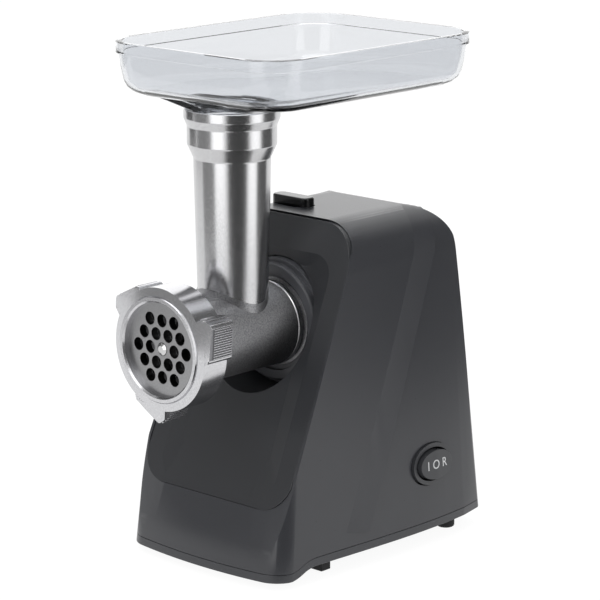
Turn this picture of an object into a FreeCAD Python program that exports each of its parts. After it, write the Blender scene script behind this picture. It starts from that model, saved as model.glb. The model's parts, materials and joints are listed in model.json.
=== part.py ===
import FreeCAD, Part
import math
import os
from FreeCAD import Vector

# Electric meat grinder: motor body, gear train, grinding head and feed tray.
# Millimetres. X is to the right seen from the front, Z is up from the table, and Y is measured
# backwards from the front face of the cutting plate until the pieces are written.

# Body
wall = 3.0
axis_z = 142.0
body_top = 205.5
body_back = 217.0
back_lean_deg = 5.5
apron_y = 31.5
apron_lean_deg = 3.5
panel_axis_y = 81.3
panel_lean_deg = 24.3
shoulder_z = 178.0
shoulder_round = 28.0
rear_round = 30.0
knee_round = 6.0
front_corner_round = 13.0
front_corner_half = 63.5
back_corner_round = 8.0
back_corner_half = 64.0
side_lean_deg = 3.0
# body sections: place, half width at the table, half width at the shoulder
section_front = (20.0, 60.0, 59.5)
section_middle = (75.0, 65.5, 56.6)
section_rear = (150.0, 70.3, 56.0)
section_back = (225.0, 63.5, 53.7)
split_side_z = 15.0
split_front_z = 9.5
split_step_y = 44.0
split_step_run = 13.0
base_depth = 5.0
base_floor = 3.0
heel_depth = 2.0
heel_inset = 1.5
crease_behind_panel = 83.0
crease_band = 16.0
crease_step = 0.9

# Front panel and socket; the dish corners are half width, height and rounding
panel_thick = 3.4
panel_sunk = 0.4
panel_margin = 1.2
panel_gap = 0.25
panel_foot_z = 45.0
panel_corner_half = 60.4
panel_corner_round = 20.0
dish_depth = 2.0
dish_edge_foot = (47.5, 47.0, 18.0)
dish_edge_top = (42.0, 186.0, 15.0)
dish_floor_foot = (36.5, 66.0, 8.0)
dish_floor_top = (30.5, 178.0, 10.0)
collar_r = 36.0
collar_mouth_r = 30.0
collar_front_y = 91.5
collar_step_y = 95.0
collar_lip = 1.0
collar_base_r = 38.3
collar_base_y = 96.0
socket_room = 3.0
spigot_end_gap = 1.0
pocket_gap = 0.6
pocket_wall = 2.0
pocket_sunk = 0.5
pocket_back_y = 97.0

# Grinding head; a lobe corner is degrees from the lobe's middle, radius and rounding
plate_r = 31.0
plate_thick = 5.0
plate_gap = 0.1
hole_r = 3.75
hole_pitch = 9.75
hole_rings = 2
key_width = 5.0
key_depth = 2.0
key_root = 0.5
lip_recess = 4.0
lip_r = 28.0
lip_edge = 1.0
lip_face_r = 31.0
ring_r = 36.5
ring_edge = 0.8
ring_front_y = -1.2
ring_back_y = 17.0
lobe_count = 3
lobe_angle = 14.0
lobe_front_y = 0.0
lobe_outline = (
    (-24.0, 31.0, 0.0), (-16.5, 39.4, 2.5), (12.0, 45.5, 2.5), (19.0, 42.0, 2.0), (25.5, 31.0, 0.0),
)
head_rim_y = 1.0
thread_r = 33.0
thread_end_y = 13.5
cone_run = 6.0
thread_gap = 0.4
barrel_r = 25.5
bore_r = 22.5
bore_cone_run = 5.0
knife_bore_r = 28.5
knife_room = 2.0
barrel_wall_y = 80.0
barrel_wall = 6.0
flange_r = 26.0
flange_y = 88.5
flange_thick = 2.8
flange_edge = 0.4
groove_r = 24.9
groove_back_y = 94.2
spigot_r = 26.9
spigot_bore_r = 21.5
spigot_back_y = 106.5
spigot_gap = 0.1
flat_rise = 24.3
tube_y = 59.0
tube_foot_z = 170.0
tube_foot_r = 21.0
tube_r = 22.8
tube_taper_z = 247.0
tube_collar_r = 26.4
tube_collar_z = 255.0
tube_collar_top_z = 266.0
tube_lip_r = 28.3
tube_lip_z = 270.5
tube_top_z = 276.0
tube_wall = 1.5
saddle_r = 29.0
saddle_gap = 0.1
neck_fit = 0.1
neck_wall = 2.0
neck_rise = 14.0

# Feed tray
tray_rim_z = 312.7
tray_half = 71.0
tray_front_y = 19.0
tray_back_y = 206.0
tray_round = 26.0
tray_wall = 2.2
rim_height = 7.0
rim_step = 1.3
tray_side_z = 288.5
tray_side_draft = 2.5
tray_side_round = 24.0
tray_bend_z = 281.0
tray_bend_in = 11.0
tray_bend_round = 20.0
tray_foot_half = 27.0
tray_foot_round = 26.0
spout_r = 24.0
spout_foot_z = 258.0

# Auger, knife and drive
auger_r = 22.1
auger_core_r = 8.5
auger_pitch = 21.0
flight_thick = 3.0
flight_root = 0.5
flight_lead = 2.0
flight_end_gap = 1.0
journal_r = 10.0
journal_lead = 4.0
journal_gap = 2.0
running_gap = 0.05
drive_across = 13.0
drive_gap = 0.2
drive_front_y = 93.0
drive_back_y = 104.0
tang_end_gap = 1.0
cup_r = 13.0
cup_back_y = 112.0
output_shaft_r = 8.0
square_side = 9.0
pin_r = 3.65
pin_proud = 1.2
nose_r = 2.0
nose_length = 1.1
knife_r = 26.5
knife_thick = 8.0
knife_hub_r = 9.5
knife_arms = 4
knife_arm = 7.0
knife_arm_thick = 5.6
washer_r = 15.0
washer_thick = 1.5
face_gap = 0.2

# Gear train: module, teeth of the pinion and of the wheel, face width
stage_one = (1.0, 12, 54, 5.0)
stage_two = (1.25, 12, 48, 7.0)
stage_three = (1.75, 12, 42, 10.0)
pressure_angle = 20.0
addendum = 0.75
dedendum = 1.05
backlash = 0.22
motor_z = 62.0
second_gear_turn = 19.5
layer_gap = 1.0
gear_rim_wall = 4.0
gear_hub_wall = 4.0
web_depth = 3.0
axle_r = 4.0
axle_hub_wall = 2.0
bush_r = 11.0
cover_y = 116.0
cover_thick = 3.0
gearcase_wall = 3.0
gearcase_back_thick = 3.5
gearcase_foot_half = 40.0
gearcase_hip_half = 52.8
gearcase_side_half = 47.0
gearcase_top_half = 30.0
gearcase_foot_z = 30.0
gearcase_hip_z = 75.0
gearcase_side_z = 150.0
gearcase_top_z = 186.0
gearcase_round = 9.0
lug_places = (82.0, 146.0)
rail_sink = 2.0
rail_half = 3.5
rail_run = 6.0
lug_root = 4.0
lug_reach = 5.0
lug_height = 12.0
pad_root = 4.0
pad_depth = 7.0
screw_r = 1.5
screw_head_r = 2.6
screw_head = 2.4
screw_head_gap = 0.3
screw_slot = 0.8
screw_slot_depth = 1.0

# Motor
shaft_r = 4.0
shaft_clear = 1.0
motor_gap = 0.5
bridge_thick = 3.0
bridge_width = 14.0
bridge_hub_r = 11.0
stator_half = 30.0
stator_round = 12.0
stator_length = 25.0
air_gap = 0.5
armature_r = 19.5
slot_count = 12
slot_width = 3.0
slot_depth = 6.5
winding_r = 17.0
winding_length = 4.0
winding_sunk = 1.0
commutator_r = 10.0
commutator_length = 6.0
segment_cut = 0.8
segment_cut_depth = 1.0
fan_r = 19.5
fan_length = 4.0
fan_blades = 9
fan_blade_thick = 1.2
fan_hub_r = 7.0
bearing_r = 8.0
bearing_length = 5.0
coil_in_r = 20.6
coil_out_r = 25.8
coil_high = 9.0
coil_gap = 0.5
bolt_boss_r = 4.5
motor_bolt_offset = 21.5
motor_bolt_r = 2.0
motor_bolt_head_r = 4.0
motor_bolt_head = 2.0
brush_width = 5.0
brush_length = 10.0
brush_height = 5.0
brush_gap = 0.25
brush_spring_length = 3.25
brush_spring_r = 1.6
brush_spring_wire = 0.4
brush_spring_pitch = 1.6
holder_wall = 1.5
holder_thin = 0.6
holder_setback = 2.0

# Release button and latch
button_x = -19.7
button_y = 132.8
button_length = 29.0
button_depth = 10.5
button_proud = 5.3
button_gap = 0.35
button_round = 4.0
button_edge = 1.2
button_foot_z = 198.6
tongue_width = 5.0
tongue_depth = 5.0
tongue_rear = 3.7
tongue_foot_z = 190.5
latch_x = -17.4
latch_pin_r = 2.0
latch_thick = 2.5
latch_width = 9.0
latch_y = 109.5
latch_bite = 2.7
latch_hole_gap = 0.3
latch_hole_spare = 2.0
latch_slot_gap = 0.5
latch_bar_z = 190.0
latch_bar_high = 4.5
latch_foot_z = 156.0
latch_end_y = 147.0
spring_x = -10.2
spring_r = 1.9
spring_wire = 0.3
spring_pitch = 1.9

# Switch
switch_y = 164.2
switch_z = 50.2
bezel_half_long = 18.5
bezel_half_high = 12.9
bezel_rim = 2.6
bezel_proud = 1.6
bezel_sunk = 0.8
rocker_gap = 1.3
rocker_proud = 5.0
rocker_end_proud = 4.2
rocker_crown = 60.0
rocker_depth = 7.0
barrel_depth = 12.0
barrel_wall_thin = 0.9
well_floor = 2.0
works_trim = 2.0
pivot_sunk = 3.5
pivot_r = 1.5
pivot_end_wall = 0.5
switch_depth = 22.0
terminal_length = 7.0
terminal_thick = 0.8
terminal_width = 6.0
terminal_pitch = 8.0

# Feet, gland and fasteners
foot_rear_r = 5.6
foot_rear_place = (53.0, 194.5)
foot_middle_place = (48.7, 80.6)
foot_middle_size = (13.0, 8.0)
foot_front_r = 10.0
foot_front_place = (44.0, 48.0)
foot_round = 1.5
gland_z = 34.0
gland_x = -30.0
gland_r = 6.5
gland_bore_r = 3.6
gland_nut_r = 9.0
gland_nut = 3.0
gland_nut_gap = 2.0
gland_proud = 1.0
gland_reach = 20.0
vent_count = 5
vent_pitch = 9.0
vent_width = 4.0
vent_front_y = 150.0
vent_back_y = 190.0
post_r = 5.0
post_top_z = 40.0
post_web = 4.0
base_screw_top_z = 30.0
post_places = ((52.5, 66.0), (52.0, 178.0))

across = Vector(1, 0, 0)
back = Vector(0, 1, 0)
up = Vector(0, 0, 1)
far = 160.0
# cutting shapes run this far past a face, and joined shapes sink this far into each other
past = 1.0


def tan_deg(angle):
    return math.tan(math.radians(angle))


def block(x0, x1, y0, y1, z0, z1):
    return Part.makeBox(x1 - x0, y1 - y0, z1 - z0, Vector(x0, y0, z0))


def rod(x, z, r, y0, y1):
    return Part.makeCylinder(r, y1 - y0, Vector(x, y0, z), back)


def post(x, y, r, z0, z1):
    return Part.makeCylinder(r, z1 - z0, Vector(x, y, z0), up)


def hollow_rod(x, z, r, bore, y0, y1):
    return rod(x, z, r, y0, y1).cut(rod(x, z, bore, y0 - past, y1 + past))


def rounded_wire(corners, place):
    # corners are (u, v, radius); place turns (u, v) into a point in space
    arcs = []
    count = len(corners)
    for i in range(count):
        here = Vector(corners[i][0], corners[i][1], 0)
        before = Vector(corners[i - 1][0], corners[i - 1][1], 0) - here
        after_corner = corners[(i + 1) % count]
        after = Vector(after_corner[0], after_corner[1], 0) - here
        before.normalize()
        after.normalize()
        half = before.getAngle(after) / 2
        r = corners[i][2]
        run = r / math.tan(half)
        middle = before + after
        if r > 0:
            middle.normalize()
            middle = here + middle * (r / math.sin(half) - r)
        arcs.append((here + before * run, middle, here + after * run, r))
    edges = []
    for i in range(count):
        start, middle, end, r = arcs[i]
        following = arcs[(i + 1) % count][0]
        if r > 0:
            points = [place(p.x, p.y) for p in (start, middle, end)]
            edges.append(Part.Arc(*points).toShape())
        if (following - end).Length > 1e-6:
            line = Part.LineSegment(place(end.x, end.y), place(following.x, following.y))
            edges.append(line.toShape())
    return Part.Wire(edges)


def side_prism(corners, half_width):
    # a (y, z) outline carried across the width
    wire = rounded_wire(corners, lambda y, z: Vector(-half_width, y, z))
    return Part.Face(wire).extrude(Vector(2 * half_width, 0, 0))


def front_prism(corners, y0, y1):
    # an (x, z) outline carried backwards
    wire = rounded_wire(corners, lambda x, z: Vector(x, y0, z))
    return Part.Face(wire).extrude(Vector(0, y1 - y0, 0))


def mirrored(corners):
    # closes a right-hand half outline, listed from the foot up, with its left-hand twin
    return corners + [(-x, z, r) for x, z, r in reversed(corners)]


def turned(points, centre, axis):
    # points are (radius, distance along the axis); the outline is turned about the axis
    places = [centre + across * r + axis * a for r, a in points]
    wire = Part.makePolygon(places + [places[0]])
    return Part.Face(wire).revolve(centre, axis, 360)


def turned_head(points):
    return turned(points, Vector(0, 0, axis_z), back)


def fuse_all(shapes):
    return shapes[0].multiFuse(shapes[1:]).removeSplitter()


# Body form
lean = tan_deg(panel_lean_deg)
lean_cos = math.cos(math.radians(panel_lean_deg))


def panel_y(z, sunk=0.0):
    return panel_axis_y + lean * (z - axis_z) + sunk / lean_cos


def back_y(z):
    return body_back - tan_deg(back_lean_deg) * (z - split_side_z)


def arch_wire(section, inset):
    y, foot, shoulder = section
    slope = (foot - shoulder) / shoulder_z
    top = body_top - inset
    corners = [(foot - inset, 0, 0), (foot - inset - slope * top, top, shoulder_round - inset)]
    return rounded_wire(mirrored(corners), lambda x, z: Vector(x, y, z))


def profile_corners(inset, front_inset):
    slope = tan_deg(apron_lean_deg)
    foot_y = apron_y + inset
    panel_foot = panel_y(0, front_inset)
    knee_z = (foot_y - panel_foot) / (lean - slope)
    top = body_top - inset
    return [
        (foot_y, 0, 0),
        (foot_y + slope * knee_z, knee_z, knee_round),
        (panel_y(top, front_inset), top, 0),
        (back_y(top) - inset, top, rear_round - inset),
        (back_y(0) - inset, 0, 0),
    ]


def corner_cutter(side, inset):
    r = front_corner_round - inset
    x = side * (front_corner_half - front_corner_round)
    y = apron_y + front_corner_round
    low = min(x, x + side * far)
    quadrant = block(low, low + far, y - far, y, -past, shoulder_z)
    return quadrant.cut(post(x, y, r, -2 * past, 2 * far))


def back_cutter(side, inset):
    # the rounding of a rear corner, leaning with the back and the side
    r = back_corner_round - inset
    foot = back_corner_half - back_corner_round
    rear = body_back - back_corner_round
    low = min(side * foot, side * (foot + far))
    quadrant = block(low, low + far, rear, rear + far, -far, 2 * far)
    cutter = quadrant.cut(post(side * foot, rear, r, -2 * far, 3 * far))
    pivot = Vector(side * back_corner_half, body_back, split_side_z)
    cutter.rotate(pivot, back, -side * side_lean_deg)
    cutter.rotate(pivot, across, back_lean_deg)
    return cutter


def body_form(inset, front_inset):
    sections = [arch_wire(s, inset) for s in (section_front, section_middle, section_rear, section_back)]
    form = Part.makeLoft(sections, True, False)
    form = form.common(side_prism(profile_corners(inset, front_inset), far))
    for side in (-1, 1):
        form = form.cut(corner_cutter(side, inset))
        form = form.cut(back_cutter(side, inset))
    return form


def slab(front, rear):
    # the layer between two depths behind the leaning front plane
    low = -far
    high = 2 * far
    return side_prism([
        (panel_y(low, front), low, 0),
        (panel_y(high, front), high, 0),
        (panel_y(high, rear), high, 0),
        (panel_y(low, rear), low, 0),
    ], far)


def below_split(drop):
    # everything under the parting line between housing and base cover
    step = split_step_y + split_step_run
    low = split_front_z - drop
    high = split_side_z - drop
    return side_prism([
        (-far, -far, 0),
        (-far, low, 0),
        (split_step_y, low, split_step_run / 2),
        (step, high, split_step_run / 2),
        (body_back + far, high, 0),
        (body_back + far, -far, 0),
    ], far)


part = {}
outer = body_form(0, 0)
cavity = body_form(wall, panel_sunk + panel_thick)
base_foot_z = split_side_z - base_depth


def wall_x(y, z):
    ray = Part.makeLine(Vector(0, y, z), Vector(far, y, z)).common(outer)
    return max(v.X for v in ray.Vertexes)


# Gear train places
def stage_distance(stage):
    module, pinion, wheel, width = stage
    return module * (pinion + wheel) / 2


output_place = Vector(0, 0, axis_z)
motor_place = Vector(0, 0, motor_z)
turn = math.radians(second_gear_turn)
second_place = output_place + Vector(math.sin(turn), 0, -math.cos(turn)) * stage_distance(stage_three)


def meet(start, start_reach, end, end_reach):
    # the left-hand point at the two given distances from start and end
    line = end - start
    span = line.Length
    line.normalize()
    along = (start_reach ** 2 - end_reach ** 2 + span ** 2) / (2 * span)
    aside = math.sqrt(start_reach ** 2 - along ** 2)
    return start + line * along + Vector(-line.z, 0, line.x) * aside


first_place = meet(motor_place, stage_distance(stage_one), second_place, stage_distance(stage_two))

third_y = cover_y + cover_thick + layer_gap
second_y = third_y + stage_three[3] + layer_gap
first_y = second_y + stage_two[3] + layer_gap
gearcase_back_y = first_y + stage_one[3] + layer_gap
motor_y = gearcase_back_y + gearcase_back_thick
motor_bolt_places = [(side * motor_bolt_offset, motor_z + side * motor_bolt_offset) for side in (-1, 1)]


def tooth_outline(teeth, module, phase):
    # one straight-sided gear outline in the plane of X and Z, anticlockwise from phase in radians
    pitch_r = module * teeth / 2
    base_r = pitch_r * math.cos(math.radians(pressure_angle))
    tip_r = pitch_r + addendum * module
    root_r = pitch_r - dedendum * module
    flank_r = max(base_r, root_r)
    half = math.pi / (2 * teeth) - backlash / (4 * pitch_r)
    pitch_inv = tan_deg(pressure_angle) - math.radians(pressure_angle)
    flank = []
    steps = 4
    for i in range(steps + 1):
        r = flank_r + (tip_r - flank_r) * i / steps
        angle = math.acos(min(1.0, base_r / r))
        flank.append((r, half + pitch_inv - (math.tan(angle) - angle)))
    if root_r < flank_r:
        flank.insert(0, (root_r, flank[0][1]))
    outline = []
    for tooth in range(teeth):
        middle = phase + 2 * math.pi * tooth / teeth
        outline += [(r, middle - a) for r, a in flank]
        outline += [(r, middle + a) for r, a in reversed(flank)]
    return [(r * math.cos(a), r * math.sin(a)) for r, a in outline]


def spur(teeth, module, place, phase, y0, y1):
    points = [Vector(place.x + x, y0, place.z + z) for x, z in tooth_outline(teeth, module, phase)]
    wire = Part.makePolygon(points + [points[0]])
    return Part.Face(wire).extrude(Vector(0, y1 - y0, 0))


def mesh_phase(driver_teeth, driver_phase, driver_place, teeth, place):
    # the phase at which a gear's space faces the driver's tooth on the line of centres
    toward = place - driver_place
    facing = math.atan2(toward.z, toward.x)
    passed = (facing - driver_phase) * driver_teeth / (2 * math.pi)
    return facing + math.pi - (0.5 - passed) * 2 * math.pi / teeth


output_phase = 0.0
second_pinion_phase = mesh_phase(stage_three[2], output_phase, output_place, stage_three[1], second_place)
second_wheel_phase = 0.0
first_pinion_phase = mesh_phase(stage_two[2], second_wheel_phase, second_place, stage_two[1], first_place)
first_wheel_phase = 0.0
motor_pinion_phase = mesh_phase(stage_one[2], first_wheel_phase, first_place, stage_one[1], motor_place)


def head_pieces():
    # barrel casting turned about the auger axis, with a boss and a neck for the feed tube
    knife_back_y = plate_thick + knife_thick + knife_room
    wall_back_y = barrel_wall_y + barrel_wall
    flange_back_y = flange_y + flange_thick
    cone_end_y = thread_end_y + cone_run
    casting = turned_head([
        (thread_r, head_rim_y), (thread_r, thread_end_y), (barrel_r, cone_end_y),
        (barrel_r, flange_y), (flange_r, flange_y + flange_edge), (flange_r, flange_back_y),
        (groove_r, flange_back_y + flange_edge), (groove_r, groove_back_y),
        (spigot_r, groove_back_y + flange_edge), (spigot_r, spigot_back_y),
        (0, spigot_back_y), (0, head_rim_y),
    ])
    flat_z = axis_z + flat_rise
    casting = casting.cut(block(-barrel_r, barrel_r, cone_end_y, tube_y, flat_z, flat_z + barrel_r))
    neck_r = tube_foot_r - tube_wall - neck_fit
    tube_bore_r = neck_r - neck_wall
    neck_top_z = tube_foot_z + neck_rise
    boss = post(0, tube_y, tube_foot_r, axis_z, tube_foot_z + saddle_r)
    boss = boss.common(rod(0, axis_z, saddle_r - saddle_gap, 0, 2 * far))
    neck = post(0, tube_y, neck_r, axis_z, neck_top_z)
    casting = fuse_all([casting, boss, neck])
    bore = turned_head([
        (plate_r + plate_gap, -past), (plate_r + plate_gap, plate_thick), (knife_bore_r, plate_thick),
        (knife_bore_r, knife_back_y), (bore_r, knife_back_y + bore_cone_run), (bore_r, barrel_wall_y),
        (journal_r + running_gap, barrel_wall_y), (journal_r + running_gap, wall_back_y),
        (spigot_bore_r, wall_back_y), (spigot_bore_r, spigot_back_y + past),
        (0, spigot_back_y + past), (0, -past),
    ])
    casting = casting.cut(bore)
    casting = casting.cut(post(0, tube_y, tube_bore_r, axis_z, neck_top_z + past))
    latch_hole_y = spigot_back_y - latch_bite - latch_hole_spare
    latch_hole_r = latch_pin_r + latch_hole_gap
    casting = casting.cut(rod(latch_x, axis_z - latch_x, latch_hole_r, latch_hole_y, spigot_back_y + past))
    key_foot_z = axis_z + plate_r - key_depth + plate_gap
    key_top_z = axis_z + plate_r + plate_gap + key_root
    key = block(-key_width / 2, key_width / 2, head_rim_y, plate_thick, key_foot_z, key_top_z)
    part["head_casting"] = casting.fuse(key).removeSplitter()

    # the feed tube is cut to a saddle over the barrel
    outside = [
        (tube_foot_r, axis_z), (tube_foot_r, tube_foot_z), (tube_r, tube_taper_z),
        (tube_collar_r, tube_collar_z), (tube_collar_r, tube_collar_top_z),
        (tube_lip_r, tube_lip_z), (tube_lip_r, tube_top_z),
    ]
    inside = [(r - tube_wall, z) for r, z in reversed(outside)]
    tube = turned(outside + inside, Vector(0, tube_y, 0), up)
    part["feed_tube"] = tube.cut(rod(0, axis_z, saddle_r, 0, 2 * far))

    holes = []
    row_high = hole_pitch * math.sqrt(3) / 2
    for row in range(-hole_rings, hole_rings + 1):
        count = 2 * hole_rings + 1 - abs(row)
        for i in range(count):
            x = (i - (count - 1) / 2) * hole_pitch
            centre = row == 0 and abs(x) < hole_pitch / 2
            r = pin_r + drive_gap if centre else hole_r
            holes.append(rod(x, axis_z + row * row_high, r, -past, plate_thick + past))
    plate = rod(0, axis_z, plate_r, 0, plate_thick)
    slot_half = key_width / 2 + plate_gap
    slot_foot_z = axis_z + plate_r - key_depth
    slot = block(-slot_half, slot_half, -past, plate_thick + past, slot_foot_z, slot_foot_z + 2 * key_depth)
    part["cutting_plate"] = plate.cut(Part.makeCompound(holes + [slot]))


def ring_nut():
    front = -lip_recess
    bore = thread_r + thread_gap
    body = turned_head([
        (lip_r, front + lip_edge), (lip_r + lip_edge, front), (lip_face_r, front),
        (lip_face_r + ring_edge, ring_front_y), (ring_r - ring_edge, ring_front_y),
        (ring_r, ring_front_y + ring_edge), (ring_r, ring_back_y - ring_edge),
        (ring_r - ring_edge, ring_back_y), (bore, ring_back_y), (bore, 0), (lip_r, 0),
    ])
    shapes = [body]
    for i in range(lobe_count):
        middle = lobe_angle + 360 / lobe_count * i
        outline = []
        for offset, r, rounding in lobe_outline:
            angle = math.radians(middle + offset)
            outline.append((r * math.cos(angle), axis_z + r * math.sin(angle), rounding))
        lobe = front_prism(outline, lobe_front_y, ring_back_y)
        shapes.append(lobe.cut(rod(0, axis_z, ring_r - past, front, ring_back_y + past)))
    part["ring_nut"] = fuse_all(shapes)


def rounded_plan(front_y, rear_y, half, r, z):
    corners = [(half, front_y, r), (half, rear_y, r), (-half, rear_y, r), (-half, front_y, r)]
    return rounded_wire(corners, lambda x, y: Vector(x, y, z))


def tray():
    # rim band, drafted walls, a rounded bend and a floor that falls to the spout
    rim_foot = tray_rim_z - rim_height

    def shell(inset, rise):
        def ring(grow, z, r):
            return rounded_plan(tray_front_y + grow, tray_back_y - grow, tray_half - grow, r - inset, z)
        band = rim_step + inset
        half = tray_foot_half - inset
        foot_z = tube_top_z + inset
        return Part.makeLoft([
            ring(band, tray_rim_z + rise, tray_round),
            ring(band + tray_side_draft, tray_side_z, tray_side_round),
            ring(band + tray_bend_in, tray_bend_z + inset, tray_bend_round),
            rounded_plan(tube_y - half, tube_y + half, half, tray_foot_round - inset, foot_z),
        ], True, True)

    band = Part.Face(rounded_plan(tray_front_y, tray_back_y, tray_half, tray_round, rim_foot))
    outside = fuse_all([shell(0, 0), band.extrude(Vector(0, 0, rim_height))])
    spout = post(0, tube_y, spout_r, spout_foot_z, tube_top_z + tray_wall)
    inside = shell(tray_wall, past)
    drain = post(0, tube_y, spout_r - tray_wall, spout_foot_z - past, tube_top_z + 2 * tray_wall)
    part["hopper_tray"] = fuse_all([outside, spout]).cut(inside).cut(drain)


def auger_and_knife():
    start = plate_thick + knife_thick + face_gap
    flight_y = start + flight_lead
    flight_length = barrel_wall_y - face_gap - flight_y - flight_thick - flight_end_gap
    low = auger_core_r - flight_root
    helix = Part.makeHelix(auger_pitch, flight_length, low)
    thick = flight_thick / 2
    profile = Part.makePolygon([
        Vector(low, 0, -thick), Vector(auger_r, 0, -thick), Vector(auger_r, 0, thick),
        Vector(low, 0, thick), Vector(low, 0, -thick),
    ])
    flight = Part.Wire(helix.Edges).makePipeShell([profile], True, True)
    flight.rotate(Vector(0, 0, 0), across, -90)
    flight.translate(Vector(0, flight_y + thick, axis_z))
    core = rod(0, axis_z, auger_core_r, start, barrel_wall_y - journal_lead / 2)
    journal = rod(0, axis_z, journal_r, barrel_wall_y - journal_lead, drive_front_y - journal_gap)
    tang = hexagon(drive_across, drive_front_y - journal_gap - past, drive_back_y - tang_end_gap)
    half = square_side / 2
    square = block(-half, half, plate_thick + face_gap, start + past, axis_z - half, axis_z + half)
    nose_y = nose_length - pin_proud
    pin = rod(0, axis_z, pin_r, nose_y, plate_thick + past)
    nose = Part.makeCone(nose_r, pin_r, nose_length, Vector(0, -pin_proud, axis_z), back)
    part["auger"] = fuse_all([core, flight, journal, tang, square, pin, nose])

    knife_y = plate_thick + face_gap
    hub = rod(0, axis_z, knife_hub_r, knife_y, knife_y + knife_thick)
    arm = block(-knife_arm / 2, knife_arm / 2, knife_y, knife_y + knife_arm_thick, axis_z, axis_z + knife_r)
    arms = []
    for i in range(knife_arms):
        blade = arm.copy()
        blade.rotate(Vector(0, 0, axis_z), back, 360 / knife_arms * (i + 0.5))
        arms.append(blade)
    knife = fuse_all([hub] + arms)
    hole = half + drive_gap / 2
    socket = block(-hole, hole, knife_y - past, knife_y + knife_thick + past, axis_z - hole, axis_z + hole)
    part["knife"] = knife.cut(socket)
    washer_y = barrel_wall_y + barrel_wall + face_gap
    washer_bore = journal_r + 2 * running_gap
    part["auger_washer"] = hollow_rod(0, axis_z, washer_r, washer_bore, washer_y, washer_y + washer_thick)


def hexagon(across_flats, y0, y1):
    r = across_flats / math.sqrt(3)
    corners = []
    for i in range(6):
        angle = math.radians(60 * i)
        corners.append((r * math.cos(angle), axis_z + r * math.sin(angle), 0))
    return front_prism(corners, y0, y1)


def gear_train():
    cover_back = cover_y + cover_thick
    end_y = gearcase_back_y - face_gap
    start_y = cover_back + face_gap

    module, pinion, wheel, width = stage_three
    gear = spur(wheel, module, output_place, output_phase, third_y, third_y + width)
    rim_r = module * wheel / 2 - dedendum * module - gear_rim_wall
    hub_r = output_shaft_r + gear_hub_wall
    web_y = third_y + width - web_depth
    web = hollow_rod(0, axis_z, rim_r, hub_r + web_depth, web_y, third_y + width)
    gear = gear.cut(web).fuse(rod(0, axis_z, hub_r, third_y, end_y))
    part["output_gear"] = gear.cut(rod(0, axis_z, output_shaft_r, 0, 2 * far)).removeSplitter()

    cup = rod(0, axis_z, cup_r, drive_front_y, cup_back_y)
    shaft = rod(0, axis_z, output_shaft_r, cup_back_y - past, gearcase_back_y + gearcase_back_thick)
    socket = hexagon(drive_across + drive_gap, drive_front_y - past, drive_back_y)
    part["output_shaft"] = cup.fuse(shaft).removeSplitter().cut(socket)

    small = spur(pinion, module, second_place, second_pinion_phase, start_y, second_y)
    axle_hub_r = axle_r + axle_hub_wall
    axle_bore_r = axle_r + running_gap
    module, pinion, wheel, width = stage_two
    second = spur(wheel, module, second_place, second_wheel_phase, second_y, second_y + width)
    hub = rod(second_place.x, second_place.z, axle_hub_r, second_y, end_y)
    bore = rod(second_place.x, second_place.z, axle_bore_r, 0, 2 * far)
    part["second_gear"] = fuse_all([second, small, hub]).cut(bore)

    small = spur(pinion, module, first_place, first_pinion_phase, second_y, first_y)
    module, pinion, wheel, width = stage_one
    first = spur(wheel, module, first_place, first_wheel_phase, first_y, first_y + width)
    front_hub = rod(first_place.x, first_place.z, axle_hub_r, start_y, second_y)
    rear_hub = rod(first_place.x, first_place.z, axle_hub_r, first_y, end_y)
    bore = rod(first_place.x, first_place.z, axle_bore_r, 0, 2 * far)
    part["first_gear"] = fuse_all([first, small, front_hub, rear_hub]).cut(bore)

    pinion_gear = spur(pinion, module, motor_place, motor_pinion_phase, first_y, first_y + width)
    part["motor_pinion"] = pinion_gear.cut(rod(0, motor_z, shaft_r, 0, 2 * far))

    for name, place in (("first_axle", first_place), ("second_axle", second_place)):
        part[name] = rod(place.x, place.z, axle_r, cover_y, motor_y)


def gearcase_outline(inset):
    rounding = gearcase_round - inset / 2
    return mirrored([
        (gearcase_foot_half - inset, gearcase_foot_z + inset, rounding),
        (gearcase_hip_half - inset, gearcase_hip_z, rounding),
        (gearcase_side_half - inset, gearcase_side_z, 0),
        (gearcase_top_half, gearcase_top_z - inset, rounding),
    ])


def gearcase_half(z):
    share = (z - gearcase_hip_z) / (gearcase_side_z - gearcase_hip_z)
    return gearcase_hip_half + (gearcase_side_half - gearcase_hip_half) * share


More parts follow.
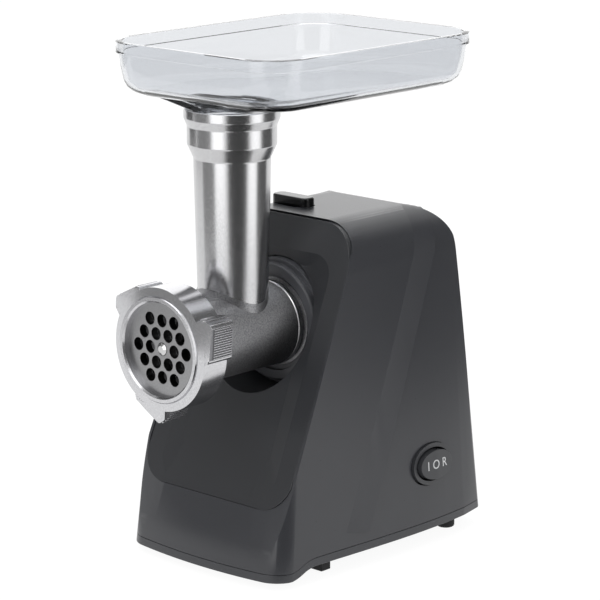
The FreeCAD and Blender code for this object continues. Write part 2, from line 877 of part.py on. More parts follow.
def gearbox():
    cover_back = cover_y + cover_thick
    axle_holes = [rod(p.x, p.z, axle_r, 0, 2 * far) for p in (first_place, second_place)]
    bush_hole = rod(0, axis_z, bush_r, 0, 2 * far)
    rail_foot = gearcase_top_z - rail_sink
    rail_top = latch_bar_z - face_gap
    rail_left = latch_x - rail_half
    rail_right = latch_x + rail_half

    cover = front_prism(gearcase_outline(0), cover_y, cover_back)
    rail = block(rail_left, rail_right, cover_y, cover_back, rail_foot, rail_top)
    cover_holes = Part.makeCompound(axle_holes + [bush_hole])
    part["gearbox_cover"] = cover.fuse(rail).removeSplitter().cut(cover_holes)

    box = front_prism(gearcase_outline(0), cover_back, motor_y)
    room = front_prism(gearcase_outline(gearcase_wall), cover_back - past, gearcase_back_y)
    rail = block(rail_left, rail_right, gearcase_back_y - rail_run, motor_y, rail_foot, rail_top)
    lugs = []
    screws = []
    for z in lug_places:
        for side in (-1, 1):
            edge = gearcase_half(z)
            span = sorted((side * (edge - lug_root), side * (edge + lug_reach)))
            low = z - lug_height / 2
            lugs.append(block(span[0], span[1], gearcase_back_y, motor_y, low, low + lug_height))
            screws.append((side * (edge + screw_head_r + screw_head_gap), z))
    case = fuse_all([box.cut(room), rail] + lugs)
    holes = axle_holes + [bush_hole, rod(0, motor_z, shaft_r + shaft_clear, 0, 2 * far)]
    holes += [rod(x, z, screw_r, 0, 2 * far) for x, z in screws]
    holes += [rod(x, z, motor_bolt_r, 0, 2 * far) for x, z in motor_bolt_places]
    part["gearbox_housing"] = case.cut(Part.makeCompound(holes))

    length = gearcase_back_thick + pad_depth - past
    part["gearbox_screws"] = Part.makeCompound([screw(x, gearcase_back_y, z, length) for x, z in screws])
    bush_bore = output_shaft_r + running_gap
    part["front_bush"] = hollow_rod(0, axis_z, bush_r, bush_bore, cover_y, cover_back)
    part["rear_bush"] = hollow_rod(0, axis_z, bush_r, bush_bore, gearcase_back_y, motor_y)
    return screws


def screw(x, y, z, length):
    head_y = y - screw_head
    head = rod(x, z, screw_head_r, head_y, y)
    slot = block(
        x - screw_head_r, x + screw_head_r, head_y - past, head_y + screw_slot_depth,
        z - screw_slot / 2, z + screw_slot / 2)
    return head.cut(slot).fuse(rod(x, z, screw_r, y, y + length)).removeSplitter()


def coil_spring(foot, axis, length, r, wire, pitch):
    # an open coil spring standing on foot along axis
    helix = Part.makeHelix(pitch, length - 2 * wire, r)
    ring = Part.Wire(Part.makeCircle(wire, Vector(r, 0, 0), back))
    spring = Part.Wire(helix.Edges).makePipeShell([ring], True, True)
    spring.translate(Vector(0, 0, wire))
    spring.Placement = FreeCAD.Placement(foot, FreeCAD.Rotation(up, axis)).multiply(spring.Placement)
    return spring


def motor():
    fan_y = motor_y + bearing_length + motor_gap
    fan_end = fan_y + fan_length
    stator_y = fan_end + winding_length + motor_gap
    stator_end = stator_y + stator_length
    winding_end = stator_end + winding_length
    commutator_y = winding_end + motor_gap
    bridge_y = commutator_y + commutator_length + holder_wall
    bridge_end = bridge_y + bridge_thick
    bolt_holes = [rod(x, z, motor_bolt_r, 0, 2 * far) for x, z in motor_bolt_places]
    half_length = motor_bolt_offset * math.sqrt(2) + bolt_boss_r
    half_width = bridge_width / 2
    centre = Vector(0, 0, motor_z)

    def bridge(y0, y1):
        bar = block(-half_length, half_length, y0, y1, motor_z - half_width, motor_z + half_width)
        bar.rotate(centre, back, -45)
        return bar

    def legs(y0, y1):
        return [rod(x, z, bolt_boss_r, y0, y1) for x, z in motor_bolt_places]

    bearing_end = motor_y + bearing_length
    bearing_hole = rod(0, motor_z, bearing_r, 0, 2 * far)
    hub = rod(0, motor_z, bridge_hub_r, motor_y, bearing_end)
    front = fuse_all([bridge(motor_y, motor_y + bridge_thick), hub] + legs(motor_y, stator_y))
    part["motor_front_bridge"] = front.cut(Part.makeCompound(bolt_holes + [bearing_hole]))
    bearing_bore = shaft_r + running_gap
    part["front_bearing"] = hollow_rod(0, motor_z, bearing_r, bearing_bore, motor_y, bearing_end)

    holder_half = brush_height / 2 + holder_wall
    brush_start = commutator_r + brush_gap
    brush_end = brush_start + brush_length
    holder_end = brush_end + brush_spring_length + past
    arm = block(-holder_end, holder_end, bridge_y, bridge_end, motor_z - half_width, motor_z + half_width)
    hub = rod(0, motor_z, bridge_hub_r, bridge_y, bridge_end)
    rear = fuse_all([bridge(bridge_y, bridge_end), arm, hub] + legs(stator_end, bridge_end))
    part["motor_rear_bridge"] = rear.cut(Part.makeCompound(bolt_holes + [bearing_hole]))
    part["rear_bearing"] = hollow_rod(0, motor_z, bearing_r, bearing_bore, bridge_y, bridge_end)

    stack = front_prism(mirrored([
        (stator_half, motor_z - stator_half, stator_round),
        (stator_half, motor_z + stator_half, stator_round),
    ]), stator_y, stator_end)
    window_half = coil_high + coil_gap
    window_out = coil_out_r + coil_gap
    window = block(-window_out, window_out, 0, 2 * far, motor_z - window_half, motor_z + window_half)
    bore = rod(0, motor_z, armature_r + air_gap, 0, 2 * far)
    part["stator_core"] = stack.cut(Part.makeCompound([bore] + bolt_holes)).cut(window)

    coils = []
    coil_disc = rod(0, motor_z, coil_out_r, 0, 2 * far)
    for side in (-1, 1):
        span = sorted((motor_z + side * coil_gap, motor_z + side * far))
        half_space = block(-far, far, 0, 2 * far, span[0], span[1])
        ends = []
        for y0 in (stator_y - winding_length, stator_end):
            ring = hollow_rod(0, motor_z, coil_out_r, coil_in_r, y0, y0 + winding_length)
            ends.append(ring.common(half_space))
        span = sorted((motor_z + side * coil_gap, motor_z + side * coil_high))
        for hand in (-1, 1):
            reach = sorted((hand * coil_in_r, hand * coil_out_r))
            run = block(reach[0], reach[1], stator_y - winding_length, winding_end, span[0], span[1])
            ends.append(run.common(coil_disc))
        coils.append(fuse_all(ends))
    part["field_coils"] = Part.makeCompound(coils)

    bolts = []
    for x, z in motor_bolt_places:
        shank = rod(x, z, motor_bolt_r, gearcase_back_y, bridge_end)
        head = rod(x, z, motor_bolt_head_r, bridge_end, bridge_end + motor_bolt_head)
        bolts.append(shank.fuse(head).removeSplitter())
    part["motor_bolts"] = Part.makeCompound(bolts)

    shaft_hole = rod(0, motor_z, shaft_r, 0, 2 * far)
    part["rotor_shaft"] = rod(0, motor_z, shaft_r, first_y, bridge_end + past)
    core = rod(0, motor_z, armature_r, stator_y, stator_end)
    slots = []
    bars = []
    slot_foot = armature_r - slot_depth
    bar_half = slot_width / 2 - face_gap
    for i in range(slot_count):
        angle = 360 / slot_count * (i + 0.5)
        slot = block(slot_foot, far, 0, 2 * far, motor_z - slot_width / 2, motor_z + slot_width / 2)
        bar = block(
            slot_foot + face_gap, armature_r - winding_sunk, stator_y - winding_length, winding_end,
            motor_z - bar_half, motor_z + bar_half)
        for shape, group in ((slot, slots), (bar, bars)):
            shape.rotate(centre, back, angle)
            group.append(shape)
    part["armature_core"] = core.cut(Part.makeCompound(slots + [shaft_hole]))
    for y0 in (stator_y - winding_length, stator_end):
        bars.append(hollow_rod(0, motor_z, winding_r, shaft_r + shaft_clear, y0, y0 + winding_length))
    part["armature_winding"] = fuse_all(bars)

    cuts = []
    cut_half = segment_cut / 2
    for i in range(slot_count):
        cut = block(commutator_r - segment_cut_depth, far, 0, 2 * far, motor_z - cut_half, motor_z + cut_half)
        cut.rotate(centre, back, 360 / slot_count * (i + 0.5))
        cuts.append(cut)
    ring = rod(0, motor_z, commutator_r, commutator_y, commutator_y + commutator_length)
    part["commutator"] = ring.cut(Part.makeCompound(cuts + [shaft_hole]))

    blades = []
    blade_half = fan_blade_thick / 2
    for i in range(fan_blades):
        blade = block(fan_hub_r - past, fan_r, fan_y, fan_end, motor_z - blade_half, motor_z + blade_half)
        blade.rotate(centre, back, 360 / fan_blades * i)
        blades.append(blade)
    disc = rod(0, motor_z, fan_r, fan_end - fan_blade_thick, fan_end)
    hub = rod(0, motor_z, fan_hub_r, fan_y, fan_end)
    part["cooling_fan"] = fuse_all([disc, hub] + blades).cut(shaft_hole)

    holders = []
    brushes = []
    springs = []
    middle_y = commutator_y + commutator_length / 2
    deep = brush_width / 2
    low = motor_z - brush_height / 2
    high = motor_z + brush_height / 2
    for side in (-1, 1):
        span = sorted((side * brush_start, side * brush_end))
        brushes.append(block(span[0], span[1], middle_y - deep, middle_y + deep, low, high))
        span = sorted((side * (brush_start + holder_setback), side * holder_end))
        holder_y = middle_y - deep - holder_thin
        holder = block(span[0], span[1], holder_y, bridge_y, motor_z - holder_half, motor_z + holder_half)
        span = sorted((side * brush_start, side * (holder_end - past)))
        holders.append(holder.cut(block(span[0], span[1], middle_y - deep, middle_y + deep, low, high)))
        foot = Vector(side * brush_end, middle_y, motor_z)
        springs.append(coil_spring(
            foot, across * side, brush_spring_length, brush_spring_r, brush_spring_wire, brush_spring_pitch))
    part["brush_holders"] = Part.makeCompound(holders)
    part["carbon_brushes"] = Part.makeCompound(brushes)
    part["brush_springs"] = Part.makeCompound(springs)


def button_and_latch():
    half = button_length / 2
    deep = button_depth / 2
    cap_top = body_top + button_proud

    def cap_block(grow):
        shape = block(
            button_x - half - grow, button_x + half + grow,
            button_y - deep - grow, button_y + deep + grow, button_foot_z, cap_top)
        upright = [e for e in shape.Edges if e.BoundBox.ZLength > (cap_top - button_foot_z) / 2]
        return shape.makeFillet(button_round + grow, upright)

    cap = cap_block(0)
    rim = [e for e in cap.Edges if e.BoundBox.ZMin > cap_top - button_edge / 2]
    cap = cap.makeFillet(button_edge, rim)

    def tongue(grow, z0, z1):
        # a tongue that leans back at half a right angle
        rear = button_y + tongue_rear - button_foot_z
        front = rear - tongue_depth
        outline = [(front + z - grow, z, 0) for z in (z0, z1)] + [(rear + z + grow, z, 0) for z in (z1, z0)]
        shape = side_prism(outline, tongue_width / 2 + grow)
        shape.translate(Vector(latch_x, 0, 0))
        return shape

    part["release_button"] = cap.fuse(tongue(0, tongue_foot_z, button_foot_z)).removeSplitter()

    wide = latch_width / 2
    bar_top = latch_bar_z + latch_bar_high
    leg = block(latch_x - wide, latch_x + wide, latch_y, latch_y + latch_thick, latch_foot_z, bar_top)
    bar = block(latch_x - wide, latch_x + wide, latch_y, latch_end_y, latch_bar_z, bar_top)
    pin = rod(latch_x, axis_z - latch_x, latch_pin_r, spigot_back_y - latch_bite, latch_y + past)
    latch = fuse_all([leg, bar, pin])
    part["latch"] = latch.cut(tongue(2 * face_gap, latch_bar_z - past, bar_top + past))
    foot = Vector(spring_x, button_y, gearcase_top_z)
    spring_length = button_foot_z - gearcase_top_z
    part["button_spring"] = coil_spring(foot, up, spring_length, spring_r, spring_wire, spring_pitch)
    return cap_block(button_gap)


def switch():
    # built about the switch's own axes (outwards, back, up), then set square to the side wall
    span = bezel_half_high
    slope_y = (wall_x(switch_y + span, switch_z) - wall_x(switch_y - span, switch_z)) / (2 * span)
    slope_z = (wall_x(switch_y, switch_z + span) - wall_x(switch_y, switch_z - span)) / (2 * span)
    outward = Vector(1, -slope_y, -slope_z)
    outward.normalize()
    upward = Vector(slope_z, 0, 1)
    upward.normalize()
    turn = FreeCAD.Rotation(outward, upward.cross(outward), upward, "XYZ")
    seat = Vector(wall_x(switch_y, switch_z), switch_y, switch_z)
    place = FreeCAD.Placement(seat, turn)

    def oval(trim, u0, u1):
        edge = Part.Ellipse(Vector(0, 0, 0), bezel_half_long - trim, bezel_half_high - trim).toShape()
        face = Part.Face(Part.Wire(edge))
        face.rotate(Vector(0, 0, 0), Vector(1, 1, 1), 120)
        face.translate(Vector(u0, 0, 0))
        return face.extrude(Vector(u1 - u0, 0, 0))

    def settle(shape):
        shape.Placement = place.multiply(shape.Placement)
        return shape

    barrel_trim = bezel_rim - barrel_wall_thin
    barrel_foot = -barrel_depth
    flange = oval(0, -bezel_sunk, bezel_proud)
    barrel = oval(barrel_trim, barrel_foot, 0)
    well = oval(bezel_rim, barrel_foot + well_floor, bezel_proud + past)
    half_long = bezel_half_long - bezel_rim - works_trim
    half_high = bezel_half_high - bezel_rim - works_trim
    works = block(-switch_depth, barrel_foot + past, -half_long, half_long, -half_high, half_high)
    case = fuse_all([flange, barrel, works]).cut(well)
    pivot_half = bezel_half_high - barrel_trim - pivot_end_wall
    socket_half = pivot_half + face_gap
    socket_foot = Vector(-pivot_sunk, 0, -socket_half)
    pivot_hole = Part.makeCylinder(pivot_r + running_gap, 2 * socket_half, socket_foot, up)
    part["switch_case"] = settle(case.cut(pivot_hole))

    end = bezel_half_long
    face = rounded_wire([
        (-rocker_depth, -end, 0), (-rocker_depth, end, 0), (rocker_end_proud, end, 0),
        (rocker_proud, 0, rocker_crown), (rocker_end_proud, -end, 0),
    ], lambda u, v: Vector(u, v, -far))
    paddle = oval(bezel_rim + rocker_gap, -rocker_depth, rocker_proud + past)
    paddle = paddle.common(Part.Face(face).extrude(Vector(0, 0, 2 * far)))
    pivot = Part.makeCylinder(pivot_r, 2 * pivot_half, Vector(-pivot_sunk, 0, -pivot_half), up)
    part["switch_rocker"] = settle(paddle.fuse(pivot).removeSplitter())

    blades = []
    thick = terminal_thick / 2
    high = terminal_width / 2
    for i in (-1, 0, 1):
        v = i * terminal_pitch
        tip = -switch_depth - terminal_length
        blades.append(block(tip, -switch_depth, v - thick, v + thick, -high, high))
    part["switch_terminals"] = settle(Part.makeCompound(blades))
    hinge = place.multVec(Vector(-pivot_sunk, 0, 0))
    bezel_opening = settle(oval(0, -bezel_sunk, far / 4))
    barrel_opening = settle(oval(barrel_trim, -barrel_depth, far / 4))
    return (bezel_opening, barrel_opening), hinge, upward


def panel_field(grow):
    # the front panel's outline over the apron, with rounded lower corners
    half = panel_corner_half + grow
    return front_prism(mirrored([
        (half, panel_foot_z - grow, panel_corner_round + grow), (half, 2 * far, 0),
    ]), -far, 2 * far)


def dish_form():
    # the shallow dish about the socket, with sloping sides
    def ring(corners, sunk):
        return rounded_wire(mirrored(corners), lambda x, z: Vector(x, panel_y(z, sunk), z))
    return Part.makeLoft([
        ring([dish_edge_foot, dish_edge_top], panel_sunk),
        ring([dish_floor_foot, dish_floor_top], panel_sunk + dish_depth),
    ], True, True)


def shells(button_hole, switch_holes, screws):
    panel_back = panel_sunk + panel_thick
    crease_y = crease_behind_panel * lean_cos
    band_y = crease_y - crease_band * lean_cos
    normal = Vector(0, lean_cos, -lean * lean_cos)
    plane = normal.dot(Vector(0, panel_axis_y, axis_z))
    flared = body_form(-crease_step, 0)
    ramp = Part.makeLoft([
        outer.slice(normal, plane + band_y)[0], flared.slice(normal, plane + crease_y)[0],
    ], True, True)
    seat = body_form(panel_margin - panel_gap, -past).common(slab(-2 * past, panel_back))
    seat = seat.common(panel_field(panel_gap))
    housing = fuse_all([outer, ramp]).cut(cavity).cut(below_split(0)).cut(seat)

    extras = []
    for x, z in screws:
        side = 1 if x > 0 else -1
        span = sorted((x - side * pad_root, x + side * far))
        low = z - lug_height / 2
        extras.append(block(span[0], span[1], motor_y, motor_y + pad_depth, low, low + lug_height))
    floor_z = base_foot_z + base_floor
    for x, y in post_places:
        for side in (-1, 1):
            extras.append(post(side * x, y, post_r, floor_z, post_top_z))
            span = sorted((side * x, side * far))
            web = post_web / 2
            extras.append(block(span[0], span[1], y - web, y + web, split_side_z, post_top_z))
    inner = body_form(wall / 2, panel_back)
    housing = fuse_all([housing] + [e.common(inner) for e in extras])
    holes = [rod(x, z, screw_r, motor_y - past, motor_y + pad_depth - past) for x, z in screws]
    for x, y in post_places:
        holes += [post(side * x, y, screw_r, floor_z - past, base_screw_top_z) for side in (-1, 1)]
    gland_y = back_y(gland_z)
    holes.append(rod(gland_x, gland_z, gland_r, gland_y - gland_reach, gland_y + gland_reach))
    for hole in holes + [button_hole] + list(switch_holes):
        housing = housing.cut(hole)
    part["main_housing"] = housing
    nut_end = gland_y - wall - gland_nut_gap
    nut_y = nut_end - gland_nut
    grip = hollow_rod(gland_x, gland_z, gland_r, gland_bore_r, nut_y, gland_y + gland_proud)
    nut = hollow_rod(gland_x, gland_z, gland_nut_r, gland_bore_r, nut_y, nut_end)
    part["cord_gland"] = grip.fuse(nut).removeSplitter()

    panel = body_form(panel_margin, panel_sunk).common(slab(panel_sunk, panel_back)).common(panel_field(0))
    pocket_r = collar_base_r + pocket_gap
    pocket = rod(0, axis_z, pocket_r + pocket_wall, 0, pocket_back_y)
    pocket = pocket.common(slab(panel_sunk + dish_depth + pocket_sunk, far))
    panel = panel.cut(dish_form()).fuse(pocket).removeSplitter()
    part["front_panel"] = panel.cut(rod(0, axis_z, pocket_r, -past, 2 * far))

    room_r = spigot_r + socket_room
    socket_r = spigot_r + spigot_gap
    rest_y = spigot_back_y + spigot_end_gap
    collar = turned_head([
        (collar_mouth_r, collar_front_y), (collar_r - collar_lip, collar_front_y),
        (collar_r, collar_front_y + collar_lip), (collar_r, collar_base_y), (collar_base_r, collar_base_y),
        (collar_base_r, cover_y), (room_r, cover_y), (room_r, rest_y), (socket_r, rest_y),
        (socket_r, collar_step_y), (collar_mouth_r, collar_step_y),
    ])
    half = latch_width / 2 + latch_slot_gap
    slot_top_z = axis_z + 2 * collar_base_r
    slot = block(latch_x - half, latch_x + half, rest_y + past, cover_y + past, axis_z, slot_top_z)
    part["socket_collar"] = collar.cut(slot)

    skirt_depth = base_depth - heel_depth
    skirt = outer.common(below_split(0)).cut(below_split(skirt_depth))
    heel = body_form(heel_inset, heel_inset).common(below_split(skirt_depth)).cut(below_split(base_depth))
    room = cavity.cut(below_split(base_depth - base_floor))
    cover = skirt.fuse(heel).removeSplitter().cut(room)
    openings = []
    for i in range(vent_count):
        x = (i - (vent_count - 1) / 2) * vent_pitch
        openings.append(block(
            x - vent_width / 2, x + vent_width / 2, vent_front_y, vent_back_y, -past, 2 * split_side_z))
    for x, y in post_places:
        openings += [post(side * x, y, screw_r, -past, 2 * split_side_z) for side in (-1, 1)]
    part["base_cover"] = cover.cut(Part.makeCompound(openings))
    base_screws = []
    head_z = base_foot_z - screw_head
    for x, y in post_places:
        for side in (-1, 1):
            head = post(side * x, y, screw_head_r, head_z, base_foot_z)
            shank = post(side * x, y, screw_r, base_foot_z, base_screw_top_z)
            slot = block(
                side * x - screw_head_r, side * x + screw_head_r, y - screw_slot / 2, y + screw_slot / 2,
                head_z - past, head_z + screw_slot_depth)
            base_screws.append(head.cut(slot).fuse(shank).removeSplitter())
    part["base_screws"] = Part.makeCompound(base_screws)


def feet():
    under_base = below_split(base_depth)
    for side, hand in ((-1, "left"), (1, "right")):
        x, y = foot_front_place
        part["front_foot_" + hand] = post(side * x, y, foot_front_r, 0, split_side_z).common(under_base)
        x, y = foot_middle_place
        half_x, half_y = foot_middle_size[0] / 2, foot_middle_size[1] / 2
        pad = block(side * x - half_x, side * x + half_x, y - half_y, y + half_y, 0, base_foot_z)
        part["middle_foot_" + hand] = pad
        x, y = foot_rear_place
        peg = post(side * x, y, foot_rear_r, 0, base_foot_z)
        rim = [e for e in peg.Edges if e.BoundBox.ZMax < foot_round / 2]
        part["rear_foot_" + hand] = peg.makeFillet(foot_round, rim)


head_pieces()
ring_nut()
tray()
auger_and_knife()
gear_train()
gearbox_screw_places = gearbox()
motor()
button_opening = button_and_latch()
switch_openings, rocker_pivot, rocker_axis = switch()
shells(button_opening, switch_openings, gearbox_screw_places)
feet()

# the row's frame has its origin under the middle of the whole object
rear_y = back_y(base_foot_z + heel_depth)
centre_y = (rear_y - lip_recess) / 2
os.makedirs("parts", exist_ok=True)
for name, shape in part.items():
    shape.translate(Vector(0, -centre_y, 0))
    shape.exportStep("parts/" + name + ".step")
print("rear", rear_y, "centre", centre_y)
print("rocker pivot", rocker_pivot - Vector(0, centre_y, 0), rocker_axis)
for name, place in (("first", first_place), ("second", second_place)):
    print(name, "gear axis", place.x, place.z)
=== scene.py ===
import bmesh
import bpy
import json
import math
from mathutils import Matrix, Vector
from mathutils.bvhtree import BVHTree


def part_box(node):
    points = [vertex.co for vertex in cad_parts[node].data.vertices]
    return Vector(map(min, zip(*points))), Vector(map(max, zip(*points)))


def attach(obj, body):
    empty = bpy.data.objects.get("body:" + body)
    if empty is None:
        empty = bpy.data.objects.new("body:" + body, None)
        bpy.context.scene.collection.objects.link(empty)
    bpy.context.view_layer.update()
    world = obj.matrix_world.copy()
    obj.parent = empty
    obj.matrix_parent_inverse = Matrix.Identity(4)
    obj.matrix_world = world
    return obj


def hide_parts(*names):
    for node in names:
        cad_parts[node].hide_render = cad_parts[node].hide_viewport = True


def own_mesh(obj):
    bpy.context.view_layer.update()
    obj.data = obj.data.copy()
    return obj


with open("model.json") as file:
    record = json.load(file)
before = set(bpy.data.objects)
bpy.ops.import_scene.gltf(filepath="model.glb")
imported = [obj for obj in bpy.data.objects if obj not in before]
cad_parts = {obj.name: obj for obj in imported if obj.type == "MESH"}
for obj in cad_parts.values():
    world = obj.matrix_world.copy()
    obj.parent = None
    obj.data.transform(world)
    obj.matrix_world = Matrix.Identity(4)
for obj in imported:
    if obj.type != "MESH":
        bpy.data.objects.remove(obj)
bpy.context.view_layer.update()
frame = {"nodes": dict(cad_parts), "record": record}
nodes = frame["nodes"]
scene = bpy.context.scene
mm = 0.001
print("frame loaded:", len(nodes), "nodes")

# places read from the frame
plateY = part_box("cutting_plate")[0].y       # front face of the cutting plate
barrelZ = sum(v.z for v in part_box("output_shaft")) / 2
tubeLow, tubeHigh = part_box("feed_tube")
tubeY = (tubeLow.y + tubeHigh.y) / 2


# colour and node helpers
def hexColour(code, alpha=1.0):
    channels = [int(code[i:i + 2], 16) / 255 for i in (1, 3, 5)]
    linear = [c / 12.92 if c <= 0.04045 else ((c + 0.055) / 1.055) ** 2.4 for c in channels]
    return (*linear, alpha)


def addNode(tree, kind, settings=None, links=None):
    node = tree.nodes.new(kind)
    for key, value in (settings or {}).items():
        if key in node.inputs:
            node.inputs[key].default_value = value
        else:
            setattr(node, key, value)
    for key, socket in (links or {}).items():
        tree.links.new(socket, node.inputs[key])
    return node


def startMaterial(name):
    material = bpy.data.materials.new(name)
    material.use_nodes = True
    tree = material.node_tree
    tree.nodes.clear()
    coords = addNode(tree, "ShaderNodeTexCoord")
    return material, tree, coords.outputs["Object"]


def endMaterial(tree, shader):
    addNode(tree, "ShaderNodeOutputMaterial", links={"Surface": shader.outputs[0]})


def perMetre(sizeMm):
    return 1000 / sizeMm            # a noise scale whose features are sizeMm across


# moulded ABS: spark-eroded grain breaks up the gloss, and the colour is a shade uneven
def mouldedAbs(name, light, dark, roughness, grainMm, grainDepthMm):
    material, tree, place = startMaterial(name)
    grain = addNode(tree, "ShaderNodeTexNoise", {"Scale": perMetre(grainMm), "Detail": 3.0}, {"Vector": place})
    cloud = addNode(tree, "ShaderNodeTexNoise", {"Scale": perMetre(40), "Detail": 2.0}, {"Vector": place})
    tint = addNode(tree, "ShaderNodeMix", {"data_type": "RGBA"}, {"Factor": cloud.outputs["Fac"]})
    tint.inputs["A"].default_value = hexColour(dark)
    tint.inputs["B"].default_value = hexColour(light)
    gloss = addNode(tree, "ShaderNodeMapRange", {"To Min": roughness - 0.04, "To Max": roughness + 0.05},
                    {"Value": grain.outputs["Fac"]})
    bump = addNode(tree, "ShaderNodeBump", {"Strength": 0.25, "Distance": grainDepthMm * mm},
                   {"Height": grain.outputs["Fac"]})
    shader = addNode(tree, "ShaderNodeBsdfPrincipled", {"IOR": 1.53},
                     {"Base Color": tint.outputs["Result"], "Roughness": gloss.outputs["Result"],
                      "Normal": bump.outputs["Normal"]})
    endMaterial(tree, shader)
    return material


# blasted cast aluminium: coarse grit dimples that scatter the light, drawn coarser than real so they show
def castAluminium(name, light, dark, roughness, gritMm, gritDepthMm):
    material, tree, place = startMaterial(name)
    grit = addNode(tree, "ShaderNodeTexNoise", {"Scale": perMetre(gritMm), "Detail": 4.0, "Roughness": 0.65},
                   {"Vector": place})
    spread = addNode(tree, "ShaderNodeMapRange", {"From Min": 0.3, "From Max": 0.7}, {"Value": grit.outputs["Fac"]})
    tint = addNode(tree, "ShaderNodeMix", {"data_type": "RGBA"}, {"Factor": spread.outputs["Result"]})
    tint.inputs["A"].default_value = hexColour(dark)
    tint.inputs["B"].default_value = hexColour(light)
    bump = addNode(tree, "ShaderNodeBump", {"Strength": 0.5, "Distance": gritDepthMm * mm},
                   {"Height": grit.outputs["Fac"]})
    shader = addNode(tree, "ShaderNodeBsdfPrincipled", {"Metallic": 1.0, "Roughness": roughness},
                     {"Base Color": tint.outputs["Result"], "Normal": bump.outputs["Normal"]})
    endMaterial(tree, shader)
    return material


# brushed steel: long thin scratches along one axis
def brushedSteel(name, light, dark, roughness, scratchMm, stretch):
    material, tree, place = startMaterial(name)
    along = addNode(tree, "ShaderNodeMapping", {"Scale": stretch}, {"Vector": place})
    scratch = addNode(tree, "ShaderNodeTexNoise", {"Scale": perMetre(scratchMm), "Detail": 3.0},
                      {"Vector": along.outputs["Vector"]})
    tint = addNode(tree, "ShaderNodeMix", {"data_type": "RGBA"}, {"Factor": scratch.outputs["Fac"]})
    tint.inputs["A"].default_value = hexColour(dark)
    tint.inputs["B"].default_value = hexColour(light)
    gloss = addNode(tree, "ShaderNodeMapRange", {"To Min": roughness - 0.07, "To Max": roughness + 0.07},
                    {"Value": scratch.outputs["Fac"]})
    bump = addNode(tree, "ShaderNodeBump", {"Strength": 0.15, "Distance": 0.03 * mm},
                   {"Height": scratch.outputs["Fac"]})
    shader = addNode(tree, "ShaderNodeBsdfPrincipled", {"Metallic": 1.0},
                     {"Base Color": tint.outputs["Result"], "Roughness": gloss.outputs["Result"],
                      "Normal": bump.outputs["Normal"]})
    endMaterial(tree, shader)
    return material


# clear polystyrene: thin moulded walls, clear with a grey edge tint and a faint flow ripple
def clearStyrene(name):
    material, tree, place = startMaterial(name)
    ripple = addNode(tree, "ShaderNodeTexNoise", {"Scale": perMetre(30), "Detail": 1.0}, {"Vector": place})
    bump = addNode(tree, "ShaderNodeBump", {"Strength": 0.05, "Distance": 0.2 * mm}, {"Height": ripple.outputs["Fac"]})
    shader = addNode(tree, "ShaderNodeBsdfPrincipled",
                     {"Base Color": hexColour("#e6e8eb"), "Roughness": 0.03, "IOR": 1.45,
                      "Transmission Weight": 1.0},
                     {"Normal": bump.outputs["Normal"]})
    endMaterial(tree, shader)
    return material


# plain moulded, sintered, wound or pressed pieces inside: one tone with a fine grain
def plainGrain(name, light, dark, roughness, metallic, grainMm):
    material, tree, place = startMaterial(name)
    grain = addNode(tree, "ShaderNodeTexNoise", {"Scale": perMetre(grainMm), "Detail": 3.0}, {"Vector": place})
    tint = addNode(tree, "ShaderNodeMix", {"data_type": "RGBA"}, {"Factor": grain.outputs["Fac"]})
    tint.inputs["A"].default_value = hexColour(dark)
    tint.inputs["B"].default_value = hexColour(light)
    bump = addNode(tree, "ShaderNodeBump", {"Strength": 0.2, "Distance": 0.05 * mm}, {"Height": grain.outputs["Fac"]})
    shader = addNode(tree, "ShaderNodeBsdfPrincipled", {"Metallic": metallic, "Roughness": roughness},
                     {"Base Color": tint.outputs["Result"], "Normal": bump.outputs["Normal"]})
    endMaterial(tree, shader)
    return material


